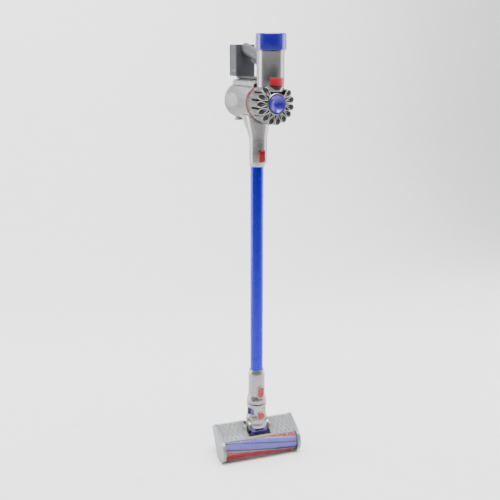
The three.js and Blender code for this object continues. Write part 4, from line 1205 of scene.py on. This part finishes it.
    def sock(self) -> None:
        """Builds the front filter's felt sock, sewn in pleats."""
        rings = []
        for y, radius in ((-101.6, 17.0), (-60, 17.0), (-20, 16.8), (14, 13.6), (25, 12.4), (28, 9.0)):
            ring = []
            for k in range(192):
                turn = math.tau * k / 192
                r = radius - 0.7 * (1 - math.cos(24 * turn)) / 2
                ring.append((r * math.cos(turn), y, self.centre + r * math.sin(turn)))
            rings.append(ring)
        Solid.lofted(rings).piece("filter_sock", self.place, FELT, "pre_filter", ["pre_filter_sock"], 0, 60)

    def shroud(self) -> None:
        """Builds the perforated shroud and its skirt."""
        start, r, end = self.back + 0.4, 31.0, 52.0
        tube = Solid.revolved(
            [
                (r - 1.6, start),
                (r, start),
                (r, end - 14),
                (r + 2, end - 8),
                (r + 7, end),
                (r + 5.4, end),
                (r - 1.6, end - 12.4),
            ]
        )
        base = Solid.round(r - 0.8, end - 18, end - 16.4)
        tube.join(base).along_y(0, self.centre).piece(
            "cyclone_shroud", self.place, MESH, "handheld", ["vortex_shroud"], 0.3
        )
        lips = [(41, -28.2), (48.9, -28.2), (48.9, -26.2), (46.9, -26.2), (46.9, -21.7), (41, -21.7)]
        seal = Solid.revolved(lips)
        seal.along_y(0, self.centre).piece("bin_lip_seal", self.place, RED, "handheld", ["bin_seal"], 0.3)

    def bin(self) -> None:
        """Builds the clear bin with its hoops, its hinge ears and the hole for the inlet."""
        r, w, y0, y1 = self.bin_radius, self.bin_wall, self.bin_front, self.bin_back
        tube = Solid.revolved(
            [
                (r - w, y0),
                (r - 0.8, y0),
                (r, y0 + 0.8),
                (r, y0 + 5),
                (r - 0.6, y0 + 5.8),
                (r - 0.6, y1 - 9),
                (r, y1 - 8),
                (r, y1),
                (r - w, y1),
            ],
            128,
        ).along_y(0, self.centre)
        pin_y, pin_z = self.hinge
        ears = []
        for side in (-1, 1):
            x0, x1 = sorted((side * 9, side * 16))
            ears.append(Solid.round(4, x0, x1).along_x(pin_y, pin_z))
            ears.append(Solid.block(x0, x1, y1 - 14, pin_y, pin_z - 2, pin_z + 3.4))
            ears.append(Solid.block(x0, x1, y1 - 14, y1, pin_z, pin_z + 7.5))
        pin = Solid.round(2, -15, 15).along_x(pin_y, pin_z)
        port = Solid.round(16, self.centre - r - 5, self.centre - r + 9)
        tube.join(*ears, pin).cut(port).piece("clear_bin", self.place, CLEAR, "bin", ["bin_barrel"], 0.3)

    def door(self) -> None:
        """Builds the bin's door with its ribs, its seal and its catch."""
        r, start = self.bin_radius, self.bin_back + 0.4
        disc = Solid.round(r, start, start + 4.6, edge=0.8).along_y(0, self.centre)
        pin_y, pin_z = self.hinge
        knuckle = Solid.round(4, -8, 8).along_x(pin_y, pin_z)
        web = Solid.block(-8, 8, start, start + 4.6, pin_z, pin_z + 6)
        bore = Solid.round(2.08, -9, 9).along_x(pin_y, pin_z)
        pocket = Solid.round(r - 9, start + 2.6, start + 9).along_y(0, self.centre)
        disc.join(knuckle, web).cut(bore, pocket).piece(
            "bin_door", self.place, CLEAR, "flap", ["bin_flap"], 0.3
        )
        rib = Solid.block(9, r - 9.6, start + 2.62, start + 4.2, -0.6, 0.6)
        made = rib.placed("door_ribs")
        spot = self.place @ Vector((0, 0, self.centre * MM))
        values = {"Count": 8, "Start": 0.2, "Step": math.tau / 8, "Centre": tuple(spot)}
        finished(grown(made, ring_tree(), {**values, "Material": CLEAR.make()}), CLEAR, "flap")
        outer = r - self.bin_wall - 0.8
        lips = [(outer - 4, 96.8), (outer - 0.4, 96.8), (outer, 97.2), (outer - 0.5, 98.2), (outer, 99.4)]
        lips += [(outer - 0.3, 100), (outer - 4, 100)]
        seal = Solid.revolved(lips).along_y(0, self.centre)
        seal.piece("door_seal", self.place, RUBBER, "flap", ["flap_seal"], 0)
        low = self.centre + r + 0.4
        catch = Solid.block(-8, 8, 96, 105, low, low + 4)
        grips = [Solid.block(-8.5, 8.5, y, y + 0.5, low + 3.5, low + 4.5) for y in (98, 100, 102)]
        catch.cut(*grips).piece("door_catch", self.place, RED, "flap_catch", ["flap_catch"], 0.5)

    def build(self) -> None:
        """Builds every piece of the unit."""
        for step in (self.cones, self.spider, self.filter_cap, self.sock, self.shroud, self.bin, self.door):
            step()


def egg(front: float, back: float, front_y: float = -6.4) -> list[Point]:
    """The section of the pieces at the wand's top, wider in front where the latch is."""
    return banded([(0, front_y, front), (0, 0, back)], 120)


@dataclass
class Body:
    """The inlet under the bin, the saddle over it and the rail."""

    front: float = 24.7
    back: float = 21.4
    straight: float = 44.4
    flare_x: float = 36.0
    rise: float = 74.0
    place: Matrix = field(default_factory=lambda: upright_place("inlet_funnel"))

    def inlet(self) -> None:
        """Builds the inlet that flares from the wand's socket to the bin."""
        wide = banded([(0, 6 - 8, self.flare_x), (0, 6 + 8, self.flare_x)], 120)
        narrow = egg(self.front, self.back)
        rings = [[(x, y, 0) for x, y in narrow], [(x, y, self.straight - 6) for x, y in narrow]]
        low, high = self.straight - 6, self.rise + 28
        for i in range(1, 17):
            share = 0.55 * i / 16 + 0.45 * eased(0, 1, i / 16)
            z = low + (high - low) * i / 16
            rings.append(blended(narrow, wide, share, z))
        rings.append([(x, y, self.rise + 34) for x, y in wide])
        body = Solid.lofted(rings)
        body.cut(
            Solid.round(19.8, -1, 25.4),
            Solid.round(15, 22, 114),
            Solid.round(BIN_ROOM, -31.7, 120).along_y(0, BIN_AXIS),
            Solid.round(CONE_ROOM, -124, -27.4).along_y(0, BIN_AXIS),
            Solid.frontal([(x, z - 7.9) for x, z in capsule(20.4, 35.4, 4)], -45, -24.9),
        ).piece("inlet_duct", self.place, GREY, "handheld", ["inlet_funnel"], 0.5)

    def saddle(self) -> None:
        """Builds the saddle over the bin, and the dark rail that the bin slides on."""
        arch = [(-26, 181), (26, 181), (26, 194.2)]
        for i in range(13):
            turn = math.pi * i / 12
            arch.append((25 * math.cos(turn), 194.2 + 6 * math.sin(turn)))
        arch.append((-26, 194.2))
        Solid.frontal(arch, -38.5, 98).cut(
            Solid.round(BIN_ROOM, -27.6, 150).along_y(0, BIN_AXIS),
            Solid.round(CONE_ROOM, -100, -27.6).along_y(0, BIN_AXIS),
            Solid.block(-9, 9, 90, 150, 181, 195),
        ).piece("bin_saddle_shell", self.place, GREY, "handheld", ["bin_saddle"], 0.5)
        rail = Solid.frontal(rounded(8, 202.6, 206.2, 2), -38.5, 105.5)
        rail.cut(
            Solid.block(-40, 40, 65.6, 200, 206.6, 293), Solid.block(-40, 40, -39.5, -19.6, 208.6, 277)
        ).piece("bin_guide_rail", self.place, CHARCOAL, "handheld", ["bin_rail"], 0.3)

    def build(self) -> None:
        """Builds every piece of the body."""
        self.inlet()
        self.saddle()


@dataclass
class Wand:
    """The tube with its two collars and their buttons, from the lower collar's foot up."""

    radius: float = 18.75
    wall: float = 1.5
    foot: float = 105.4
    shown: float = 606.6
    seat: float = 14.0
    top_collar: float = 38.4
    place: Matrix = field(default_factory=lambda: upright_place("wand_bottom_collar"))

    @property
    def tube_top(self) -> float:
        """Where the tube goes into the top collar."""
        return self.foot + self.shown

    def tube(self) -> None:
        """Builds the tube."""
        low, high = self.foot - self.seat, self.tube_top + self.seat - 2
        tube = Solid.round(self.radius, low, high, self.radius - self.wall)
        tube.piece("wand_tube_blue", self.place, BLUE, "wand", ["wand_tube"], 0)

    def lower_collar(self) -> None:
        """Builds the lower collar, with its flare, its groove and the pad round the button."""
        seat, socket = self.radius + 0.4, 22.5
        ledge = self.foot - self.seat - 0.4
        profile = [(seat, self.foot), (seat, ledge), (16.5, ledge), (16.5, 41), (socket, 41), (socket, 0)]
        profile += [(28.3, 0), (29.1, 0.8), (29.1, 7)]
        profile += [(eased(29.1, 24.7, i / 8), 7 + 21 * i / 8) for i in range(1, 9)]
        profile += [(24.7, 34.0), (24.7, 35.0), (23.8, 35.5), (23.8, 36.7), (24.4, 37.2)]
        profile += [(24.7, self.foot - 14)]
        profile += [(eased(24.7, seat + 1.6, i / 5), self.foot - 14 + 14 * i / 5) for i in range(1, 6)]
        button = 37.4
        pad = Solid.frontal([(x, z + button) for x, z in capsule(25, 39)], -27, -socket - 0.5)
        hole = Solid.frontal([(x, z + button) for x, z in capsule(19.8, 33.8)], -40, -socket + 4)
        slot = Solid.block(-3, 3, -31, -25.2, 9.6, 12.6).moved(Matrix.Rotation(math.radians(-46), 4, "Z"))
        Solid.revolved(profile).join(pad).cut(hole, slot).piece(
            "lower_collar", self.place, GREY, "wand", ["wand_bottom_collar"], 0.4
        )
        domed(capsule(19, 33), -28.3, -24.7, 1.6).at(0, 0, button).piece(
            "head_release_button", self.place, RED, "head_button", ["head_button"], 0
        )

    def upper_collar(self) -> None:
        """Builds the upper collar, its spigot and the latch button over the seam."""
        low, high = self.tube_top, self.tube_top + self.top_collar
        narrow, wide = banded([(0, 0, self.radius + 2)], 120), egg(24.7, 21.4)
        rings = []
        for i in range(9):
            share = eased(0, 1, i / 8)
            z = low + 14 * i / 8
            rings.append(blended(narrow, wide, share, z))
        rings.append([(x, y, high) for x, y in wide])
        middle = low + 14 + 16.5
        room = Solid.frontal([(x, z + middle) for x, z in capsule(18.8, 33.8, 4)], -45, -24.9)
        stem_way = Solid.round(3.4, -25.9, -20.4).along_y(0, high - 10)
        Solid.lofted(rings).join(Solid.round(19.4, high - 1, high + 24)).cut(
            Solid.round(self.radius + 0.4, low - 1, low + 12.4),
            Solid.round(16.5, low + 11.4, high + 25),
            room,
            stem_way,
        ).piece("upper_collar", self.place, GREY, "wand", ["wand_top_collar"], 0.4)
        button = domed(capsule(18, 33, 4.4), -33.1, -28.1, 2.0).at(0, 0, middle)
        stem = Solid.round(3, -29.1, -24.1).along_y(0, high - 10)
        button.join(stem).piece("wand_latch_button", self.place, RED, "wand_button", ["wand_button"], 0)

    def build(self) -> None:
        """Builds every piece of the wand."""
        for step in (self.tube, self.lower_collar, self.upper_collar):
            step()


@dataclass
class Neck:
    """The neck shell that plugs into the wand, and the elbow that turns in it."""

    swivel: float = 24.3
    waist: float = 27.8
    top: float = 32.0
    place: Matrix = field(default_factory=lambda: upright_place("neck_shell"))
    turned_place: Matrix = field(default_factory=lambda: tilt_place(False))

    def shell(self) -> None:
        """Builds the neck shell with its side windows and the raised pad of its button."""
        bore, end = self.swivel + 0.4, 38.4
        profile = [(bore, 0), (30.4, 0), (31, 0.6)]
        profile += [(eased(31, self.waist, i / 8), 0.6 + 17.4 * i / 8) for i in range(1, 9)]
        profile += [(self.waist, 34), (28.2, 36), (29, 38), (29, 46.5), (28.6, 47.5), (27.5, 48), (22.1, 48)]
        profile += [(22.1, 83), (21.1, 84), (16.5, 84), (16.5, end), (bore, end)]
        pad = Solid.round(12.6, -30.8, -bore - 1.5, edge=0.8).along_y(0, 13.2)
        hole = Solid.round(11.4, -33.9, -bore + 2).along_y(0, 13.2)
        left = Solid.sideways([(-20.6, 17), (9, 14), (9, 32), (3, 36.2), (-13, 36.2), (-20.6, 31)], -40, -14)
        right = Solid.block(15, 40, -2, 13, 11, 35.5)
        seam = Solid.block(-40, -19.2, -20.2, -19.0, -1, 17.6)
        Solid.revolved(profile).join(pad).cut(hole, left, right, seam).piece(
            "neck_casing", self.place, GREY, "neck", ["neck_shell"], 0.35
        )
        button = domed([(11 * math.cos(t), 11 * math.sin(t)) for t in self.turns(64)], -31.9, -28.3, 1.5)
        button.at(0, 0, 13.2).piece("neck_release_button", self.place, RED, "neck_button", ["neck_button"], 0)
        rest = Solid.round(26.9, 16.8, 32, bore + 0.2).cut(
            Solid.block(-40, 40, -40, -4, 0, 60),
            Solid.block(-40, 40, 8.4, 40, 0, 60),
            Solid.block(0, 40, -40, 40, 0, 60),
        )
        rest.piece("neck_window_seal", self.place, RUBBER, "neck", edge_mm=0.2)

    @staticmethod
    def turns(count: int) -> list[float]:
        """Even angles round a circle."""
        return [math.tau * i / count for i in range(count)]

    def elbow(self) -> None:
        """Builds the elbow over the duct's barrel, with the ears of the tilt pins."""
        skirt, room = 33.5, 25.8
        outer = [(0, 7), (skirt - 0.8, 7), (skirt, 7.8), (skirt, 11)]
        outer += [(eased(skirt, 31, i / 6), 11 + 15 * i / 6) for i in range(1, 7)]
        body = Solid.revolved(outer + [(31, self.top), (0, self.top)])
        ears = []
        for side in (-1, 1):
            x0, x1 = sorted((side * room, side * 33))
            cheek = Solid.sideways(banded([(0, 0, 15.4), (-25, 10, 3), (25, 10, 3)], 72), x0, x1)
            ears.append(cheek.worked(Fit.KEEP, [Solid.round(skirt - 0.2, -20, 12)]))
        # The apron follows the duct's drum down in front, as far as the roller's cover allows.
        turns = [math.radians(60 + 106 * i / 32) for i in range(33)]
        band = [(28.6 * math.cos(t), 28.6 * math.sin(t)) for t in turns]
        band += [(25.8 * math.cos(t), 25.8 * math.sin(t)) for t in reversed(turns)]
        ears.append(Solid.sideways(band, -31.5, 31.5))
        body.join(*ears).cut(
            Solid.round(25.8, -room, room).along_x(),
            Solid.round(4.08, -34, 34).along_x(),
            Solid.round(18, 0, self.top + 1),
        ).piece("elbow_casing", self.turned_place, GREY, "swivel", ["elbow_shell"], 0.35)
        tube = Solid.round(self.swivel, self.top + 0.4, self.top + 38.4, 18.0)
        tube.piece("swivel_sleeve", self.turned_place, VIOLET, "swivel", ["swivel_tube"], 0.2)

    def build(self) -> None:
        """Builds every piece of the neck."""
        self.shell()
        self.elbow()


@dataclass
class Head:
    """The soft roller head, in its own frame about the tilt axis."""

    half: float = 124.0
    cap: float = 9.0
    wall: float = 2.5
    rear: float = 26.6
    sole: float = -46.4
    rear_top: float = -12.8
    cover_radius: float = 36.5
    roller_y: float = -52.3
    roller_z: float = -9.9
    pile_radius: float = 32.5
    place: Matrix = field(default_factory=lambda: tilt_place(True))

    @property
    def inner(self) -> float:
        """Half the width between the end caps."""
        return self.half - self.cap

    def over(self, angle: float, radius: float) -> Point:
        """A point over the roller, from straight ahead up and back."""
        a = math.radians(angle)
        return (self.roller_y - radius * math.cos(a), self.roller_z + radius * math.sin(a))

    def cover(self) -> None:
        """Builds the translucent top cover and the window over the roller."""
        border, under = self.over(118, self.cover_radius), self.over(118, self.cover_radius - self.wall)
        low = self.sole + 3.4
        outer, inside = [], []
        for i in range(9):
            t = i / 8
            arch = 0.9 * math.sin(math.pi * t)
            y = self.rear + (border[0] - self.rear) * t
            z = self.rear_top + (border[1] - self.rear_top) * t + arch
            outer.append((y, z))
            y = self.rear - self.wall + (under[0] - self.rear + self.wall) * t
            z = self.rear_top - self.wall + (under[1] - self.rear_top + self.wall) * t + arch
            inside.append((y, z))
        outline = [(self.rear, low), *outer, *reversed(inside), (self.rear - self.wall, low)]
        length = self.inner - 0.4
        room = [
            Solid.round(35.2, -35.5, 35.5).along_x(),
            Solid.block(-35.5, 35.5, 0, 2 * self.rear, -35.2, 35.2),
            Solid.round(10.4, -44.9, -33.5).along_x(),
            Solid.round(10.4, 33.5, 44.9).along_x(),
        ]
        Solid.sideways(outline, -length, length).cut(*room).piece(
            "top_cover", self.place, COVER, "head", ["head_cover"], 0.3
        )
        pane = [self.over(50 + 67.2 * i / 24, self.cover_radius) for i in range(25)]
        pane += [self.over(50 + 67.2 * i / 24, self.cover_radius - self.wall) for i in reversed(range(25))]
        Solid.sideways(pane, -length, length).piece(
            "roller_pane", self.place, WINDOW, "head", ["roller_window"], 0.3
        )

    def ribs(self) -> None:
        """Repeats the crossed ribs moulded under the cover."""
        border = self.over(118, self.cover_radius - self.wall)
        start, end = Vector((22.0, -17.4)), Vector((border[0] + 6, border[1] - 2.2))
        pitch, shift = 14.0, 32.0
        section = ((-0.5, -0.7), (0.5, -0.7), (0.5, 0.7), (-0.5, 0.7))
        for name, lean in (("left", -1), ("right", 1)):
            for side, first in ((-1, -113.0), (1, 46.0)):
                x = first + (shift / 2 if lean < 0 else -shift / 2) + shift / 2
                rings = []
                for share in (0.0, 1.0):
                    spot = start.lerp(end, share)
                    cx = x + lean * shift * share
                    rings.append([(cx + a, spot.x, spot.y + b) for a, b in section])
                label = f"cover_ribs_{name}_{'near' if side < 0 else 'far'}"
                made = Solid.lofted(rings).placed(label, self.place)
                step = self.place.to_3x3() @ Vector((pitch * MM, 0, 0))
                grown(made, row_tree(), {"Count": 3, "Offset": tuple(step), "Material": RIB.make()})
                finished(made, RIB, "head")

    def teardrop(self, inset: float) -> list[Point]:
        """The end cap's outline, moved in by inset."""
        nose = (self.roller_y, self.roller_z, self.cover_radius - inset)
        y, small = self.rear - 3, 3 - inset
        return banded([nose, (y, self.rear_top - 3, small), (y, self.sole + 3, small)], 120)

    def caps(self) -> None:
        """Builds the teardrop end caps with their raised rims, and the lock on the right."""
        spot = (self.roller_y, self.roller_z)
        for name, side in (("left", -1), ("right", 1)):
            x0, x1 = sorted((side * self.inner, side * self.half))
            plate = Solid.sideways(self.teardrop(0), x0, x1)
            outer = side * self.half
            p0, p1 = sorted((outer - side * 0.7, outer + side))
            pocket = Solid.sideways(self.teardrop(2.4), p0, p1)
            if side < 0:
                way = Solid.round(4.08, -self.inner - 5, -self.inner + 1).along_x(*spot)
            else:
                way = Solid.round(9.4, self.half - 4.4, self.half + 1).along_x(*spot)
            plate.cut(pocket, way).piece(f"cap_{name}", self.place, PALE, "head", [f"end_cap_{name}"], 0.7)
        disc = Solid.round(9, self.half - 4, self.half, edge=0.5).along_x(*spot)
        y, z = spot
        slot = Solid.block(self.half - 2, self.half + 1, y - 7.5, y + 7.5, z - 1.2, z + 1.2)
        disc.cut(slot).piece("roller_end_lock", self.place, GREY, "cap_lock", ["cap_lock"], 0.25)

    def bosses(self) -> None:
        """Builds the ringed caps on the tilt pins and the screw boss at the rear."""
        for name, side in (("left", -1), ("right", 1)):
            rings = [(0, 0), (10.3, 0), (10.3, 9.6), (9.6, 10.4), (7.4, 10.4), (7.0, 9.7), (5.6, 9.7)]
            cap = Solid.revolved(rings + [(5.2, 10.4), (2.6, 10.4), (2.2, 9.5), (0, 9.5)], 64).along_x()
            if side < 0:
                cap.moved(Matrix.Scale(-1, 4, (1, 0, 0)))._tidied()
            cap.at(side * 34.2, 0, 0).piece(f"tilt_boss_{name}", self.place, PALE, "head", edge_mm=0.2)
        head = [(0, 0), (4.4, 0), (4.4, 2.6), (3.8, 3.2), (2.4, 3.2), (2.1, 2.0), (0, 2.0)]
        screw = Solid.revolved(head, 48)
        screw.at(104, 16, -13.4).piece("cover_screw_boss", self.place, PALE, "head", edge_mm=0.15)

    def duct(self) -> None:
        """Builds the violet barrel of the duct."""
        outline = []
        for radius, order in ((25.4, range(65)), (23.4, reversed(range(65)))):
            for i in order:
                turn = math.radians(-40 + 189 * i / 64)
                outline.append((radius * math.cos(turn), radius * math.sin(turn)))
        slot = Solid.block(-13, 13, -15.7, 29.6, -4, 29.6)
        Solid.sideways(outline, -25, 25).cut(slot).piece(
            "duct_drum", self.place, VIOLET, "head", ["duct_barrel"], 0.2
        )

    def roller(self) -> None:
        """Builds the soft roller: its core, its pile and the fibres on it."""
        end = self.inner - 3
        core = Solid.round(21.5, -end + 2, end - 2, 19)
        plug = Solid.round(20, -end + 2, -end + 8)
        stub = Solid.round(4, -self.inner - 4, -end + 3)
        core.join(plug, stub).along_x(self.roller_y, self.roller_z).piece(
            "roller_tube", self.place, CHARCOAL, "roller", ["roller_core"], 0.3
        )
        spin = joint("roller_spin")
        yaw = math.atan2(spin["axis"][1], spin["axis"][0])
        dyed = StripedPile(
            "dyed_nylon_pile",
            "#5A4FC4",
            "#2A2560",
            "pile",
            0.6,
            0.9,
            0.0,
            0.3,
            sheen=0.1,
            centre=tuple(spin["pos_m"]),
            yaw=yaw,
        )
        nap = self.pile_radius - 1.2
        profile = [(21.8, -end), (nap - 1.2, -end), (nap, -end + 1.2), (nap, end - 1.2)]
        pile = Solid.revolved(profile + [(nap - 1.2, end), (21.8, end)], 128)
        made = pile.along_x(self.roller_y, self.roller_z).placed("soft_pile", self.place)
        grown(made, pile_tree(), {"Density": 260000.0, "Length": 0.0011, "Material": dyed.make()})
        finished(made, dyed, "roller", ["roller_pile"], 60)

    def underside(self) -> None:
        """Builds the sole and the two rear wheels."""
        length, high = self.inner - 0.4, self.sole + 3
        plate = Solid.block(-length, length, -37.5, self.rear, self.sole, high)
        wells, grooves = [], []
        for side in (-1, 1):
            wells.append(Solid.block(side * 56 - 5.5, side * 56 + 5.5, 9.5, 24.5, self.sole - 1, high + 3))
        for y in (-30, -22, -14):
            grooves.append(Solid.block(-length + 8, length - 8, y, y + 1.2, self.sole - 1, self.sole + 0.6))
        plate.cut(*wells, *grooves).piece("sole_panel", self.place, GREY, "head", ["sole_plate"], 0.4)
        for name, side in (("left", -1), ("right", 1)):
            z = self.sole - 1.6 + 6.5
            rim = [(0, -4.5), (5.4, -4.5), (6.3, -3.8), (6.5, -2.6), (6.5, 2.6), (6.3, 3.8), (5.4, 4.5)]
            tyre = Solid.revolved(rim + [(0, 4.5)], 64).along_x(17, z)
            axle = Solid.round(1.6, -5.2, 5.2).along_x(17, z)
            tyre.join(axle).at(side * 56, 0, 0).piece(
                f"rear_wheel_{name}", self.place, RUBBER, f"wheel_{name}", [f"wheel_{name}"], 0
            )

    def build(self) -> None:
        """Builds every piece of the head."""
        for step in (self.cover, self.ribs, self.caps, self.bosses, self.duct, self.roller, self.underside):
            step()


# ---- The pieces that keep their own shape --------------------------------------------------
KEPT: dict[str, Finish] = {
    "head_chassis": SLATE,
    "roller_motor": CAST,
    "wand_cable": RUBBER,
    "cell_pack": CAST,
    "battery_board": BOARD,
    "motor_case": CHARCOAL,
    "motor_stator": CAST,
    "motor_diffuser": GREY,
    "motor_board": BOARD,
    "motor_bearing": STEEL,
    "trigger_switch": RUBBER,
    "rotor_shaft": STEEL,
    "rotor_magnet": STEEL,
    "impeller": CHARCOAL,
    "post_filter_media": FELT,
}


def dress_kept() -> None:
    """Gives each node that keeps its shape its own finish."""
    for name, finish in KEPT.items():
        node = frame["nodes"][name]
        node.data.materials.clear()
        node.data.materials.append(finish.make())


# ---- Stage ---------------------------------------------------------------------------------
@dataclass
class Studio:
    """The floor, the soft lights and the camera."""

    spot: tuple[float, float, float] = (-1.0982, -2.1450, 0.0422)
    azimuth: float = -27.85
    down: float = 13.93
    lens_mm: float = 59.58

    def floor(self) -> None:
        """Lays a pale floor that sweeps up behind the object."""
        low = CAD_BOUNDS[0].z
        bm = bmesh.new()
        section = [(-6.0, 0.0), (1.4, 0.0)]
        bend = [math.pi / 2 * i / 12 for i in range(1, 13)]
        section += [(1.4 + math.sin(t), 1 - math.cos(t)) for t in bend]
        section += [(2.4, 7.0)]
        rows = [[bm.verts.new((x, y, low + z)) for y, z in section] for x in (-9.0, 9.0)]
        for i in range(len(section) - 1):
            bm.faces.new((rows[0][i], rows[1][i], rows[1][i + 1], rows[0][i + 1]))
        mesh = bpy.data.meshes.new("studio_floor")
        bm.to_mesh(mesh)
        made = bpy.data.objects.new("studio_floor", mesh)
        bpy.context.scene.collection.objects.link(made)
        paper = Finish("pale_paper", "#F7F7F7", "#F3F3F3", "grey", 40.0, 0.9, 0.0, 0.0)
        mesh.shade_smooth()
        mesh.materials.append(paper.make())

    def light(self, name: str, spot: Vector, aim: Vector, size: tuple[float, float], watts: float) -> None:
        """Hangs a soft box.

        Args:
            name: The light's name.
            spot: Where it hangs.
            aim: What it faces.
            size: Its width and height.
            watts: Its power.
        """
        lamp = bpy.data.lights.new(name, "AREA")
        lamp.shape = "RECTANGLE"
        lamp.size, lamp.size_y = size
        lamp.energy = watts
        made = bpy.data.objects.new(name, lamp)
        made.location = spot
        made.rotation_euler = (aim - spot).to_track_quat("-Z", "Y").to_euler()
        bpy.context.scene.collection.objects.link(made)

    def build(self) -> None:
        """Builds the floor, the lights, the world and the camera."""
        self.floor()
        middle = (CAD_BOUNDS[0] + CAD_BOUNDS[1]) / 2
        turn = math.radians(self.azimuth)
        right = Vector((math.cos(turn), math.sin(turn), 0))
        away = Vector((-math.sin(turn), math.cos(turn), 0))
        self.light("left_box", middle - right * 2.3 + away * 0.35, middle, (1.1, 3.2), 75)
        self.light("right_box", middle + right * 2.3 + away * 0.9, middle, (1.8, 3.2), 70)
        self.light("top_box", middle - away * 1.2 + Vector((0, 0, 2.6)), middle, (1.6, 1.2), 60)
        self.light("back_box", middle + Vector((0, -0.4, 2.4)), middle + away * 2.6, (3.0, 1.5), 230)
        world = bpy.data.worlds.new("studio")
        world.use_nodes = True
        tree = world.node_tree
        # The studio is dim on the camera's side, which leaves the middle of a round metal part dark.
        way = add(tree, "ShaderNodeTexCoord").outputs["Generated"]
        front = add(tree, "ShaderNodeVectorMath", {0: way, 1: tuple(-away)}, operation="DOT_PRODUCT")
        level = add(tree, "ShaderNodeMapRange", {0: front.outputs["Value"], 1: 0.1, 2: 0.8, 3: 0.95, 4: 0.12})
        level.interpolation_type = "SMOOTHSTEP"
        lit = tree.nodes["Background"]
        lit.inputs[0].default_value = (0.93, 0.95, 1.0, 1)
        tree.links.new(level.outputs[0], lit.inputs[1])
        bpy.context.scene.world = world
        camera = bpy.data.cameras.new("camera")
        camera.lens = self.lens_mm
        camera.sensor_width = 36.0
        camera.dof.use_dof = False
        made = bpy.data.objects.new("camera", camera)
        made.location = self.spot
        made.rotation_euler = (math.pi / 2 - math.radians(self.down), 0, math.radians(self.azimuth))
        bpy.context.scene.collection.objects.link(made)
        bpy.context.scene.camera = made


def main() -> None:
    """Builds the studio and every sub-assembly."""
    logging.basicConfig(level=logging.INFO, format="%(message)s")
    for unit in (Studio(), MotorUnit(), GripUnit(), CycloneUnit(), Body(), Wand(), Neck(), Head()):
        LOG.info("-- %s", type(unit).__name__)
        unit.build()
    dress_kept()


if __name__ == "__main__":
    main()
